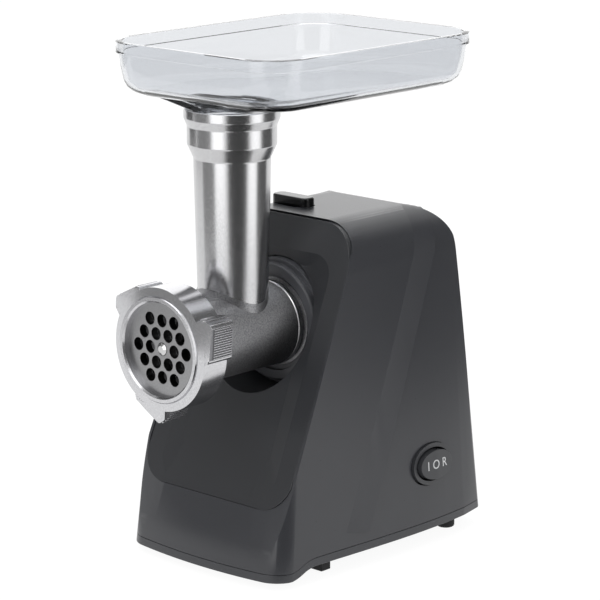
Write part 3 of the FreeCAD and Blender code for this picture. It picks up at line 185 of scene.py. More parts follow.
finish = {
    "bodyAbs": mouldedAbs("satinAbs", "#35363a", "#313236", 0.29, 0.8, 0.04),
    "panelAbs": mouldedAbs("panelAbs", "#2f3033", "#2b2c2f", 0.34, 0.8, 0.05),
    # the collar: the housing's plastic drawn lighter, painted light against the shade it sits in
    "collarAbsPaintedLight": mouldedAbs("collarAbsPaintedLight", "#4b4c50", "#47484c", 0.4, 0.8, 0.04),
    "glossAbs": mouldedAbs("glossBlackAbs", "#131314", "#0d0d0e", 0.14, 1.2, 0.01),
    "switchAbs": mouldedAbs("switchAbs", "#3b3c3f", "#36373a", 0.36, 0.8, 0.03),
    "printWhite": plainGrain("padPrintedWhite", "#cfd0d1", "#c4c5c6", 0.5, 0.0, 0.6),
    "rubber": mouldedAbs("blackRubber", "#1b1b1c", "#121213", 0.75, 0.7, 0.1),
    "clear": clearStyrene("clearPolystyrene"),
    "casting": castAluminium("blastedAluminium", "#bcbcbe", "#848487", 0.46, 0.9, 0.16),
    "ring": castAluminium("satinAluminium", "#d6d6d8", "#c0c0c3", 0.19, 0.8, 0.03),
    # the flats between the ring's ribs: a darker aluminium, painted shade in the valleys between the ribs
    "ribFootShade": castAluminium("ribFootPaintedShade", "#97979a", "#828285", 0.4, 0.8, 0.03),
    "stainless": brushedSteel("brushedStainless", "#d6d6d7", "#b4b4b6", 0.22, 0.7, (1, 1, 0.5)),
    "turned": castAluminium("turnedAluminium", "#f4f4f5", "#e8e8ea", 0.3, 0.6, 0.01),
    "plate": castAluminium("groundSteel", "#a9a9aa", "#98989a", 0.36, 0.7, 0.02),
    "bright": brushedSteel("brightSteel", "#d6d6d6", "#c2c2c3", 0.16, 0.6, (1, 1, 1)),
    # the plate's hole walls: a dark steel, painted shade inside the holes
    "holeShade": castAluminium("holeWallPaintedShade", "#3c3c3d", "#2a2a2b", 0.5, 0.6, 0.02),
    "whiteNylon": plainGrain("whiteNylon", "#e4e3dc", "#dad8cf", 0.5, 0.0, 1.5),
    "greyNylon": plainGrain("glassFilledNylon", "#5b5c5f", "#505154", 0.6, 0.0, 0.8),
    "bronze": plainGrain("sinteredBronze", "#b98d55", "#9c7442", 0.4, 1.0, 0.5),
    "copper": plainGrain("enamelledCopper", "#a8562f", "#8b4122", 0.35, 1.0, 0.8),
    "iron": plainGrain("laminatedIron", "#6a6a6d", "#545457", 0.5, 1.0, 0.5),
    "carbon": plainGrain("brushCarbon", "#2a2a2b", "#1d1d1e", 0.7, 0.0, 0.6),
}
print("finishes made:", len(finish))


# pieces
def newPiece(name, bm, material, body, standsFor=(), smoothDeg=35):
    mesh = bpy.data.meshes.new(name)
    bm.to_mesh(mesh)
    bm.free()
    mesh.shade_smooth()
    mesh.set_sharp_from_angle(angle=math.radians(smoothDeg))
    piece = bpy.data.objects.new(name, mesh)
    scene.collection.objects.link(piece)
    mesh.materials.append(material)
    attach(piece, body)
    if standsFor:
        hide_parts(*standsFor)
    return piece


def weightNormals(piece):
    weighted = piece.modifiers.new("weightedNormals", "WEIGHTED_NORMAL")
    weighted.keep_sharp = True
    weighted.weight = 80
    return piece


bodyOf = {n: b for b, members in frame["record"]["behaviour"]["bodies"].items() for n in members}


def merged(node):
    bm = bmesh.new()
    bm.from_mesh(nodes[node].data)
    bmesh.ops.remove_doubles(bm, verts=bm.verts, dist=0.002 * mm)
    bmesh.ops.recalc_face_normals(bm, faces=bm.faces)
    bmesh.ops.dissolve_limit(bm, angle_limit=math.radians(0.5), verts=bm.verts, edges=bm.edges)
    return bm


def bevelled(bm, edges, offsetMm, segments):
    bmesh.ops.bevel(bm, geom=edges, offset=offsetMm * mm, offset_type="OFFSET", affect="EDGES",
                    segments=segments, profile=0.5, material=-1, clamp_overlap=True)


def edgesBetween(bm, lowDeg, highDeg):
    low, high = math.radians(lowDeg), math.radians(highDeg)
    return [e for e in bm.edges if len(e.link_faces) == 2 and low < e.calc_face_angle(0) <= high]


def softened(node, name, material, bevelMm=0.4, edgeDeg=30, accent=None, isAccent=None, smoothDeg=35,
             shape=None):
    # a merged copy of a solid with its hard edges rounded; some faces may take a second finish
    bm = merged(node)
    if shape:
        shape(bm)
    if accent:
        for face in bm.faces:
            face.material_index = 1 if isAccent(face.normal, face.calc_center_median()) else 0
    bevelled(bm, edgesBetween(bm, edgeDeg, 180), bevelMm, 2)
    piece = newPiece(name, bm, material, bodyOf[node], (node,), smoothDeg)
    if accent:
        piece.data.materials.append(accent)
    return weightNormals(piece)


# body block: an arch drawn out from front to back, then planed to the panel, the bowed apron and the back
block = {"sections": [(20, 63.4, 59.5), (75, 66.3, 56.6), (150, 70.3, 56.0), (225, 63.5, 53.7)],
         "front": 14, "rear": 230, "steps": 36, "shoulderZ": 178.0, "top": 205.5, "shoulder": 28.0, "arc": 20,
         "back": 217.8, "backZ": 15.0, "backLean": 6.5, "rearRound": 25.0, "rearRoundSteps": 13,
         "rearCorner": 8.0, "rearHalf": 64.0, "rearCornerDeg": 12, "rearCornerSteps": 9,
         "panelY": 81.3, "panelZ": 142.0, "panelLean": 24.3, "sideLean": 1.5,
         "apron": 25.8, "apronZ": 5.0, "apronLean": 7.0, "bow": 340.0, "bowSteps": 7,
         "corner": 17.0, "cornerX": 47.6, "cornerDeg": 85, "cornerSteps": 14,
         "knee": 80.0, "kneeLeans": (9.5, 12, 14.5, 17)}


def fitPoint(x, y, z):
    return Vector((x * mm, plateY + y * mm, z * mm))


def atStation(y, column):
    # a cubic through the four sections
    total = 0
    for here in block["sections"]:
        others = [o for o in block["sections"] if o is not here]
        total += here[column] * math.prod((y - o[0]) / (here[0] - o[0]) for o in others)
    return total


def archLoop(bm, y, inset):
    known = set(bm.edges)
    foot = atStation(y, 1) - inset
    slope = (atStation(y, 1) - atStation(y, 2)) / block["shoulderZ"]
    top = block["top"] - inset
    stand = Matrix.Translation(fitPoint(0, y, top / 2)) @ Matrix.Rotation(math.radians(90), 4, "X")
    made = bmesh.ops.create_grid(bm, x_segments=1, y_segments=1, size=0.5,
                                 matrix=stand @ Matrix.Diagonal((2 * foot * mm, top * mm, 1, 1)))
    upper = [v for v in made["verts"] if v.co.z > top * mm / 2]
    for vert in upper:
        vert.co.x -= math.copysign(slope * top * mm, vert.co.x)
    bmesh.ops.bevel(bm, geom=upper, offset=(block["shoulder"] - inset) * mm, offset_type="OFFSET", affect="VERTICES",
                    segments=block["arc"], profile=0.5, material=-1, clamp_overlap=True)
    inner = [f for f in bm.faces if all(e not in known for e in f.edges)]
    bmesh.ops.delete(bm, geom=inner, context="FACES_ONLY")
    return [e for e in bm.edges if e not in known]


def leaning(sideways, backwards, leanDeg):
    lean = math.radians(leanDeg)
    return Vector((sideways * math.cos(lean), backwards * math.cos(lean), math.sin(lean)))


def kneePoint(leanDeg):
    # where a plane of this lean touches the wide rounding between the apron and the panel
    low, high = math.radians(block["apronLean"]), math.radians(block["panelLean"])
    panelFoot = block["panelY"] - block["panelZ"] * math.tan(high)
    apronFoot = block["apron"] - block["apronZ"] * math.tan(low)
    kneeZ = (apronFoot - panelFoot) / (math.tan(high) - math.tan(low))
    run = block["knee"] * math.tan((high - low) / 2)
    startZ = kneeZ - run * math.cos(low)
    startY = apronFoot + startZ * math.tan(low)
    angle = math.radians(leanDeg)
    rise = startZ + block["knee"] * (math.sin(angle) - math.sin(low))
    return rise, startY + block["knee"] * (math.cos(low) - math.cos(angle)) - block["apron"]


def blockPlanes():
    planes = [(fitPoint(0, block["panelY"], block["panelZ"]), leaning(0, -1, block["panelLean"]))]
    # the back and its rounding into the top
    lean = math.radians(block["backLean"])
    r = block["rearRound"]
    z = block["top"] - r
    y = block["back"] + ((block["backZ"] - z) * math.sin(lean) - r) / math.cos(lean)
    for k in range(block["rearRoundSteps"]):
        angle = lean + (math.pi / 2 - lean) * k / block["rearRoundSteps"]
        cos, sin = math.cos(angle), math.sin(angle)
        planes.append((fitPoint(0, y + r * cos, z + r * sin), Vector((0, cos, sin))))
    # the apron, bowed in plan
    turn = math.asin(block["cornerX"] / (block["bow"] - block["corner"]))
    for k in range(-block["bowSteps"], block["bowSteps"] + 1):
        cos, sin = math.cos(turn * k / block["bowSteps"]), math.sin(turn * k / block["bowSteps"])
        y = block["apron"] + block["bow"] * (1 - cos)
        planes.append((fitPoint(block["bow"] * sin, y, block["apronZ"]), leaning(sin, -cos, block["apronLean"])))
        for leanDeg in block["kneeLeans"]:
            rise, recess = kneePoint(leanDeg)
            planes.append((fitPoint(block["bow"] * sin, y + recess, rise), leaning(sin, -cos, leanDeg)))
    # the upright corners, front and rear
    middle = block["apron"] + block["bow"] - (block["bow"] - block["corner"]) * math.cos(turn)
    for side in (-1, 1):
        for k in range(1, block["cornerSteps"]):
            angle = turn + (math.radians(block["cornerDeg"]) - turn) * k / block["cornerSteps"]
            cos, sin = math.cos(angle), math.sin(angle)
            place = fitPoint(side * (block["cornerX"] + block["corner"] * sin), middle - block["corner"] * cos,
                             block["apronZ"])
            planes.append((place, leaning(side * sin, -cos, block["apronLean"] * cos + block["sideLean"] * sin)))
        for k in range(block["rearCornerSteps"]):
            angle = math.radians(block["rearCornerDeg"] + (90 - block["rearCornerDeg"]) * k / block["rearCornerSteps"])
            cos, sin = math.cos(angle), math.sin(angle)
            inside = block["rearHalf"] - block["rearCorner"]
            place = fitPoint(side * (inside + block["rearCorner"] * cos),
                             block["back"] - block["rearCorner"] * (1 - sin), block["backZ"])
            planes.append((place, leaning(side * cos, sin, block["sideLean"] * cos + block["backLean"] * sin)))
    return planes


def bodyBlock(inset):
    bm = bmesh.new()
    stretch = block["rear"] - block["front"]
    loops = [archLoop(bm, block["front"] + stretch * k / block["steps"], inset) for k in range(block["steps"] + 1)]
    for first, second in zip(loops, loops[1:]):
        bmesh.ops.bridge_loops(bm, edges=first + second)
    bmesh.ops.holes_fill(bm, edges=loops[0] + loops[-1], sides=0)
    bmesh.ops.recalc_face_normals(bm, faces=bm.faces)
    for place, normal in blockPlanes():
        cut = bmesh.ops.bisect_plane(bm, geom=bm.verts[:] + bm.edges[:] + bm.faces[:], dist=0.0005 * mm,
                                     plane_co=place - normal * inset * mm, plane_no=normal, clear_outer=True)
        rim = [g for g in cut["geom_cut"] if isinstance(g, bmesh.types.BMEdge)]
        bmesh.ops.holes_fill(bm, edges=rim, sides=0)
    bmesh.ops.remove_doubles(bm, verts=bm.verts, dist=0.005 * mm)
    bmesh.ops.recalc_face_normals(bm, faces=bm.faces)
    return bm


def hullOf(names, shifts):
    # the convex outline of some pieces, spread by the shifts, to cut their seats
    bm = bmesh.new()
    for name in names:
        for vert in nodes[name].data.vertices:
            for shift in shifts:
                bm.verts.new(vert.co + shift)
    bmesh.ops.convex_hull(bm, input=bm.verts, use_existing_faces=False)
    bmesh.ops.delete(bm, geom=[v for v in bm.verts if not v.link_faces], context="VERTS")
    bmesh.ops.recalc_face_normals(bm, faces=bm.faces)
    return bm


# the parting line with the base: low in front, then a soft step up to the sides
parting = {"low": 9.5, "high": 15.0, "stepY": 44.0, "run": 13.0, "round": 5.0, "half": 120, "deep": 60, "rear": 300,
           "front": -60, "gap": 0.15}


def belowParting(drop):
    bm = bmesh.new()
    outline = [(parting["front"], -parting["deep"]), (parting["front"], parting["low"] - drop),
               (parting["stepY"], parting["low"] - drop), (parting["stepY"] + parting["run"], parting["high"] - drop),
               (parting["rear"], parting["high"] - drop), (parting["rear"], -parting["deep"])]
    verts = [bm.verts.new(fitPoint(-parting["half"], y, z)) for y, z in outline]
    bm.faces.new(verts)
    bmesh.ops.bevel(bm, geom=verts[2:4], offset=parting["round"] * mm, offset_type="OFFSET", affect="VERTICES",
                    segments=6, profile=0.5, material=-1, clamp_overlap=True)
    made = bmesh.ops.extrude_face_region(bm, geom=bm.faces[:])
    moved = [g for g in made["geom"] if isinstance(g, bmesh.types.BMVert)]
    bmesh.ops.translate(bm, vec=(2 * parting["half"] * mm, 0, 0), verts=moved)
    bmesh.ops.recalc_face_normals(bm, faces=bm.faces)
    return bm


def looseObject(name, bm):
    mesh = bpy.data.meshes.new(name)
    bm.to_mesh(mesh)
    bm.free()
    thing = bpy.data.objects.new(name, mesh)
    scene.collection.objects.link(thing)
    return thing


def carved(bm, cuts):
    # a block with other blocks taken away from it or kept in common with it
    work = looseObject("work", bm)
    tools = []
    for operation, tool in cuts:
        tools.append(looseObject("tool", tool))
        step = work.modifiers.new("cut", "BOOLEAN")
        step.operation = operation
        step.solver = "EXACT"
        step.object = tools[-1]
    result = bmesh.new()
    result.from_object(work, bpy.context.evaluated_depsgraph_get())
    for thing in tools + [work]:
        mesh = thing.data
        bpy.data.objects.remove(thing)
        bpy.data.meshes.remove(mesh)
    bmesh.ops.remove_doubles(result, verts=result.verts, dist=0.003 * mm)
    bmesh.ops.recalc_face_normals(result, faces=result.faces)
    bmesh.ops.dissolve_limit(result, angle_limit=math.radians(0.2), verts=result.verts, edges=result.edges)
    return result


# main housing: a shell with seats for the panel, the button and the switch
shell = {"wall": 3.0, "panelGap": 0.12 * mm, "panelReach": 12 * mm, "buttonGap": 0.35 * mm, "buttonReach": 8 * mm,
         "switchGap": 0.3 * mm, "switchReach": 6 * mm, "edge": 0.6, "hardDeg": 32}


def makeHousing():
    lean = math.radians(block["panelLean"])
    upPanel = Vector((0, math.sin(lean), math.cos(lean)))
    ahead = Vector((0, -math.cos(lean), math.sin(lean))) * shell["panelReach"]
    gap = shell["panelGap"]
    panelShifts = [Vector((x * gap, 0, 0)) + upPanel * z * gap + out
                   for x in (-1, 1) for z in (-1, 1) for out in (Vector(), ahead)]
    gap = shell["buttonGap"]
    buttonShifts = [Vector((x * gap, y * gap, z * shell["buttonReach"]))
                    for x in (-1, 1) for y in (-1, 1) for z in (-1, 1)]
    gap = shell["switchGap"]
    switchShifts = [Vector((x * shell["switchReach"], y * gap, z * gap))
                    for x in (0, 1) for y in (-1, 1) for z in (-1, 1)]
    bm = carved(bodyBlock(0), [
        ("DIFFERENCE", bodyBlock(shell["wall"])),
        ("DIFFERENCE", belowParting(-parting["gap"])),
        ("DIFFERENCE", hullOf(["front_panel"], panelShifts)),
        ("DIFFERENCE", hullOf(["release_button"], buttonShifts)),
        ("DIFFERENCE", hullOf(["switch_case"], switchShifts)),
    ])
    bevelled(bm, edgesBetween(bm, shell["hardDeg"], 180), shell["edge"], 2)
    piece = newPiece("motorHousing", bm, finish["bodyAbs"], bodyOf["main_housing"], ("main_housing",))
    return weightNormals(piece)


housing = makeHousing()

# base cover: the bottom of the same block, with a heel and vents
base = {"depth": 5.0, "floor": 2.0, "edge": 1.9,
        "vents": 5, "pitch": 9.0, "width": 4.0, "front": 150.0, "back": 190.0, "ventZ": 10, "ventTall": 40}


def makeBase():
    vents = bmesh.new()
    for i in range(base["vents"]):
        x = (i - (base["vents"] - 1) / 2) * base["pitch"]
        size = Matrix.Diagonal((base["width"] * mm, (base["back"] - base["front"]) * mm, base["ventTall"] * mm, 1))
        place = fitPoint(x, (base["front"] + base["back"]) / 2, base["ventZ"])
        bmesh.ops.create_cube(vents, size=1.0, matrix=Matrix.Translation(place) @ size)
    room = bodyBlock(shell["wall"])
    bmesh.ops.bisect_plane(room, geom=room.verts[:] + room.edges[:] + room.faces[:], dist=0.0005 * mm,
                           plane_co=fitPoint(0, 0, parting["high"] - base["floor"]), plane_no=(0, 0, -1),
                           clear_outer=True)
    bmesh.ops.holes_fill(room, edges=[e for e in room.edges if e.is_boundary], sides=0)
    bmesh.ops.recalc_face_normals(room, faces=room.faces)
    bm = carved(bodyBlock(0), [
        ("INTERSECT", belowParting(parting["gap"])),
        ("DIFFERENCE", belowParting(base["depth"])),
        ("DIFFERENCE", room),
        ("DIFFERENCE", vents),
    ])
    bevelled(bm, edgesBetween(bm, shell["hardDeg"], 180), base["edge"], 3)
    piece = newPiece("baseCover", bm, finish["bodyAbs"], bodyOf["base_cover"], ("base_cover",))
    return weightNormals(piece)


makeBase()

# the shell's rear edge stands a little proud of the sides: a ramp that lies on the housing's skin
crease = {"behind": 83.0 * mm, "leanDeg": 24.3, "panelY": 81.3 * mm, "shift": 6.5 * mm, "width": 19 * mm,
          "height": 2.3 * mm, "tuck": 0.2 * mm, "sink": 0.4 * mm, "middleZ": 140 * mm, "reach": 300 * mm,
          "halfX": 70 * mm, "footZ": 16.5 * mm, "topDeg": 72, "fadeDeg": 44, "along": 90, "across": 8}


def makeCrease(side):
    lean = math.radians(crease["leanDeg"])
    upward = Vector((0, math.sin(lean), math.cos(lean)))
    place = Vector((0, plateY + crease["panelY"] + crease["behind"], barrelZ))
    middle = place + upward * ((crease["middleZ"] - barrelZ) / math.cos(lean))
    low = -math.atan2((crease["middleZ"] - crease["footZ"]) / math.cos(lean), crease["halfX"])
    high = math.radians(crease["topDeg"])
    skin = bmesh.new()
    skin.from_mesh(housing.data)
    surface = BVHTree.FromBMesh(skin)
    skin.free()
    bm = bmesh.new()
    bmesh.ops.create_grid(bm, x_segments=crease["along"], y_segments=crease["across"], size=0.5)
    for vert in bm.verts:
        along, across = vert.co.x + 0.5, vert.co.y + 0.5
        angle = low + (high - low) * along
        last = across > 0.99
        ramp = min(1, across / (1 - 1 / crease["across"]))
        fade = min(1, (high - angle) / math.radians(crease["topDeg"] - crease["fadeDeg"]))
        centre = middle.copy()
        centre.y -= crease["shift"] + crease["width"] * (1 - ramp)
        arm = Vector((side, 0, 0)) * math.cos(angle) + upward * math.sin(angle)
        hit, facing, face, far = surface.ray_cast(centre + arm * crease["reach"], -arm)
        rise = -crease["sink"] if last else (crease["height"] + crease["tuck"]) * ramp * fade - crease["tuck"]
        vert.co = hit + facing * rise
    bmesh.ops.recalc_face_normals(bm, faces=bm.faces)
    piece = newPiece("shellEdge." + ("right" if side > 0 else "left"), bm, finish["bodyAbs"], bodyOf["main_housing"])
    weightNormals(piece)


for side in (-1, 1):
    makeCrease(side)

# fitted pieces of the body; the panel's dish keeps crisp rims
softened("front_panel", "frontPanel", finish["panelAbs"], 0.4, edgeDeg=40, smoothDeg=4)
# the collar's lighter plastic is painted light against the shade round the socket
softened("socket_collar", "socketCollar", finish["collarAbsPaintedLight"], 0.5)
frontFoot = 0.72                    # the front feet draw in under the apron
for side in ("left", "right"):
    for row in ("front", "middle", "rear"):
        foot = softened(row + "_foot_" + side, row + "Foot." + side, finish["rubber"], 0.6)
        if row == "front":
            low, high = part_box(row + "_foot_" + side)
            middle = (low + high) / 2
            for vert in foot.data.vertices:
                vert.co.x = middle.x + (vert.co.x - middle.x) * frontFoot
                vert.co.y = middle.y + (vert.co.y - middle.y) * frontFoot
softened("release_button", "releaseButton", finish["glossAbs"], 0.2)
softened("switch_case", "switchCase", finish["switchAbs"], 0.5)
softened("switch_rocker", "switchRocker", finish["switchAbs"], 0.6)
print("body shells done")

# switch marks, a hair proud of the rocker's face
marks = {"size": 8.0 * mm, "thick": 0.06 * mm, "lift": 0.03 * mm, "reach": 30 * mm,
         "places": (("I", -8.0 * mm), ("O", -1.0 * mm), ("R", 7.2 * mm))}


def makeMarks():
    hinge = next(j for j in frame["record"]["behaviour"]["joints"] if j["name"] == "switch_rock")
    pivot, upward = Vector(hinge["pos_m"]), Vector(hinge["axis"]).normalized()
    along = Vector((0, 1, 0))
    outward = along.cross(upward).normalized()
    rocker = merged("switch_rocker")
    surface = BVHTree.FromBMesh(rocker)
    rocker.free()
    bm = bmesh.new()
    for letter, shift in marks["places"]:
        curve = bpy.data.curves.new("mark", "FONT")
        curve.body = letter
        curve.size = marks["size"]
        curve.extrude = marks["thick"]
        curve.align_x = "CENTER"
        curve.align_y = "CENTER"
        text = bpy.data.objects.new("mark", curve)
        mesh = text.to_mesh()
        hit, normal, face, reach = surface.ray_cast(pivot + along * shift + outward * marks["reach"], -outward)
        sideways = upward.cross(normal).normalized()
        turn = Matrix((sideways, normal.cross(sideways), normal)).transposed().to_4x4()
        mesh.transform(Matrix.Translation(hit + normal * marks["lift"]) @ turn)
        bm.from_mesh(mesh)
        text.to_mesh_clear()
        bpy.data.objects.remove(text)
        bpy.data.curves.remove(curve)
    bmesh.ops.remove_doubles(bm, verts=bm.verts, dist=0.002 * mm)
    bmesh.ops.recalc_face_normals(bm, faces=bm.faces)
    newPiece("switchMarks", bm, finish["printWhite"], bodyOf["switch_rocker"])


makeMarks()

# grinding head: blasted casting with a machined flat and a turned flange, steel tube and plate
head = {"flatRise": 24.3 * mm, "flangeFront": 88.4 * mm, "flangeBack": 91.8 * mm, "flange": 26.0 * mm,
        "flangeLead": 25.1 * mm, "holeShadeField": 26 * mm}


def slopeFlange(bm):
    # the flange's rim slopes a little towards the front, where it catches the light
    for vert in bm.verts:
        fromAxis = math.hypot(vert.co.x, vert.co.z - barrelZ)
        ahead = abs(vert.co.y - plateY - head["flangeFront"]) < 0.3 * mm
        if ahead and abs(fromAxis - head["flange"]) < 0.1 * mm:
            scale = head["flangeLead"] / fromAxis
            vert.co.x *= scale
            vert.co.z = barrelZ + (vert.co.z - barrelZ) * scale


def isMachined(normal, place):
    onFlat = normal.z > 0.99 and abs(place.z - barrelZ - head["flatRise"]) < 0.2 * mm
    depth = place.y - plateY
    return onFlat or (head["flangeFront"] < depth < head["flangeBack"])


# the walls of the plate's holes, which take painted shade
def isShadedHoleWall(normal, place):
    fromAxis = math.hypot(place.x, place.z - barrelZ)
    return abs(normal.y) < 0.3 and fromAxis < head["holeShadeField"]


softened("head_casting", "headCasting", finish["casting"], 0.4, accent=finish["turned"], isAccent=isMachined,
         shape=slopeFlange)
softened("cutting_plate", "cuttingPlate", finish["plate"], 0.3, accent=finish["holeShade"], isAccent=isShadedHoleWall)

# feed tube: turned, with its foot cut to sit over the barrel
tube = {"steps": 96, "saddle": 29.0 * mm, "wall": 1.5, "edge": 0.6, "smoothDeg": 50,
        "outside": [(21.0, 170.0), (22.8, 247.0), (26.4, 255.0), (26.4, 266.0), (28.3, 270.5), (28.3, 276.0)]}


def makeTube():
    bm = bmesh.new()
    inside = [(r - tube["wall"], z) for r, z in reversed(tube["outside"])]
    verts = [bm.verts.new((r * mm, tubeY, z * mm)) for r, z in tube["outside"] + inside]
    edges = [bm.edges.new(pair) for pair in zip(verts, verts[1:] + verts[:1])]
    bmesh.ops.spin(bm, geom=verts + edges, cent=(0, tubeY, 0), axis=(0, 0, 1), dvec=(0, 0, 0),
                   angle=2 * math.pi, steps=tube["steps"], use_merge=True, use_duplicate=False)
    bmesh.ops.remove_doubles(bm, verts=bm.verts, dist=0.002 * mm)
    bmesh.ops.recalc_face_normals(bm, faces=bm.faces)
    foot = tube["outside"][0][1] * mm + mm
    rounded = [e for e in edgesBetween(bm, 10, 180) if e.verts[0].co.z > foot]
    bevelled(bm, rounded, tube["edge"], 3)
    for vert in bm.verts:
        if vert.co.z < foot:
            vert.co.z = barrelZ + math.sqrt(tube["saddle"] ** 2 - vert.co.x ** 2)
    piece = newPiece("feedTube", bm, finish["stainless"], bodyOf["feed_tube"], ("feed_tube",),
                     tube["smoothDeg"])
    weightNormals(piece)


makeTube()

# ring nut: a shallow cone in front, ribs on the tips and upper flanks of its three lobes
ring = {"lobes": 3, "middle": 14, "corners": [(-16.5, 39.4), (12, 45.5), (19, 42.0), (22.5, 36.6)],
        "ribs": [13, 2, 4], "margin": [1.6, 0.6, 0.6], "ribRadius": 0.62 * mm, "front": 1.5 * mm, "length": 14.8 * mm,
        "lip": 31.0 * mm, "tip": 46.0 * mm, "face": -3.0 * mm, "high": -1.4 * mm, "low": 0.1 * mm,
        "edge": 0.3, "hardDeg": 35, "sliver": 0.3 * mm * mm, "ribFootShade": 38.2 * mm, "ribFootShadeArea": 20 * mm * mm}


def makeRing():
    bm = merged("ring_nut")
    # the flat front is split finely enough to take the cone
    front = [f for f in bm.faces if f.normal.y < -0.99 and f.calc_center_median().y > plateY + ring["high"]]
    split = bmesh.ops.triangulate(bm, faces=front, quad_method="BEAUTY", ngon_method="BEAUTY")["faces"]
    bmesh.ops.subdivide_edges(bm, edges=list({e for f in split for e in f.edges}), cuts=2, use_grid_fill=True)
    for vert in bm.verts:
        fromAxis = math.hypot(vert.co.x, vert.co.z - barrelZ)
        if fromAxis > ring["lip"] - 0.1 * mm and ring["high"] < vert.co.y - plateY < ring["low"]:
            vert.co.y = plateY + ring["face"] * (ring["tip"] - fromAxis) / (ring["tip"] - ring["lip"])
    bmesh.ops.remove_doubles(bm, verts=bm.verts, dist=0.05 * mm)
    bmesh.ops.recalc_face_normals(bm, faces=bm.faces)
    bmesh.ops.dissolve_degenerate(bm, dist=0.1 * mm, edges=bm.edges)
    hard = [e for e in edgesBetween(bm, ring["hardDeg"], 180)
            if min(f.calc_area() for f in e.link_faces) > ring["sliver"]]
    bevelled(bm, hard, ring["edge"], 2)
    # flat faces between the ribs take the darker finish: painted shade in the valleys between the ribs
    for face in bm.faces:
        middle = face.calc_center_median()
        fromAxis = math.hypot(middle.x, middle.z - barrelZ)
        flat = abs(face.normal.y) < 0.05 and face.calc_area() > ring["ribFootShadeArea"]
        face.material_index = 1 if flat and fromAxis > ring["ribFootShade"] else 0
    for lobe in range(ring["lobes"]):
        corners = []
        for offset, radius in ring["corners"]:
            angle = math.radians(ring["middle"] + 360 / ring["lobes"] * lobe + offset)
            corners.append(Vector((radius * math.cos(angle) * mm, 0, barrelZ + radius * math.sin(angle) * mm)))
        for start, end, count, margin in zip(corners, corners[1:], ring["ribs"], ring["margin"]):
            for i in range(count):
                foot = start.lerp(end, (i + margin) / (count - 1 + 2 * margin))
                foot.y = plateY + ring["front"] + ring["length"] / 2
                stand = Matrix.Translation(foot) @ Matrix.Rotation(math.radians(90), 4, "X")
                bmesh.ops.create_cone(bm, cap_ends=True, segments=10, radius1=ring["ribRadius"],
                                      radius2=ring["ribRadius"], depth=ring["length"], matrix=stand)
    piece = newPiece("ringNut", bm, finish["ring"], bodyOf["ring_nut"], ("ring_nut",))
    piece.data.materials.append(finish["ribFootShade"])
    weightNormals(piece)


makeRing()
print("grinding head done")

# clear tray: rounded plans from the rim down to the spout, outside and then inside
tray = {"corner": 10, "half": 71.0, "front": 19.0, "back": 206.0, "rim": 312.7, "spoutFoot": 258.0,
        "spout": 24.0, "wall": 2.2, "tubeTop": 276.0, "seat": (27, 0.3), "seatDrop": 0.6,
        "wallTop": 1.3, "floorRun": 8, "lip": [(1.3, 0.5, 23.5), (0.8, 0, 24)],
        "outside": [(0.5, 312.7, 26), (0, 312.2, 26), (0, 306.0, 26), (0.5, 305.7, 26), (1.3, 305.5, 25.5),
                    (2.2, 298.0, 25), (3.6, 289.5, 24.5), (5.0, 286.0, 24), (7.6, 283.4, 23), (11.5, 281.6, 22),
                    (17.0, 280.3, 21)]}


def planLoop(bm, halfX, halfY, middleY, rounding, z):
    known = set(bm.edges)
    size = Matrix.Diagonal((2 * halfX * mm, 2 * halfY * mm, 1, 1))
    made = bmesh.ops.create_grid(bm, x_segments=1, y_segments=1, size=0.5,
                                 matrix=Matrix.Translation((0, middleY, z * mm)) @ size)
    bmesh.ops.bevel(bm, geom=made["verts"], offset=rounding * mm, offset_type="OFFSET", affect="VERTICES",
                    segments=tray["corner"], profile=0.5, material=-1, clamp_overlap=True)
    inner = [f for f in bm.faces if all(e not in known for e in f.edges)]
    bmesh.ops.delete(bm, geom=inner, context="FACES_ONLY")
    return [e for e in bm.edges if e not in known]


def makeTray():
    bm = bmesh.new()
    middleY = plateY + (tray["front"] + tray["back"]) / 2 * mm
    halfY = (tray["back"] - tray["front"]) / 2
    loops = []

    def wallLoop(grow, z, rounding):
        loops.append(planLoop(bm, tray["half"] - grow, halfY - grow, middleY, rounding, z))

    def roundLoop(radius, z):
        loops.append(planLoop(bm, radius, radius, tubeY, radius * 0.99, z))

    for grow, z, rounding in tray["outside"]:
        wallLoop(grow, z, rounding)
    roundLoop(tray["seat"][0], tray["tubeTop"] + tray["seat"][1])
    roundLoop(tray["spout"], tray["tubeTop"] - tray["seatDrop"])
    roundLoop(tray["spout"], tray["spoutFoot"])
    roundLoop(tray["spout"] - tray["wall"], tray["spoutFoot"])
    roundLoop(tray["spout"] - tray["wall"], tray["tubeTop"] + tray["wall"] - tray["seatDrop"])
    for grow, z, rounding in reversed(tray["outside"][4:]):
        lift = tray["wall"] * min(1, (grow - tray["wallTop"]) / tray["floorRun"])
        wallLoop(grow + tray["wall"], z + lift, rounding - tray["wall"])
    for grow, drop, rounding in tray["lip"]:
        wallLoop(grow + tray["wall"], tray["rim"] - drop, rounding)
    for first, second in zip(loops, loops[1:] + loops[:1]):
        bmesh.ops.bridge_loops(bm, edges=first + second)
    bmesh.ops.recalc_face_normals(bm, faces=bm.faces)
    newPiece("hopperTray", bm, finish["clear"], bodyOf["hopper_tray"], ("hopper_tray",), 40)


makeTray()
print("tray done")

# button spring: a merged copy with a mesh of its own; the real spring shortens with the button
springCopy = newPiece("buttonSpring", merged("button_spring"), finish["bright"], bodyOf["button_spring"],
                      ("button_spring",), 60)
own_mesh(springCopy)
print("spring done")

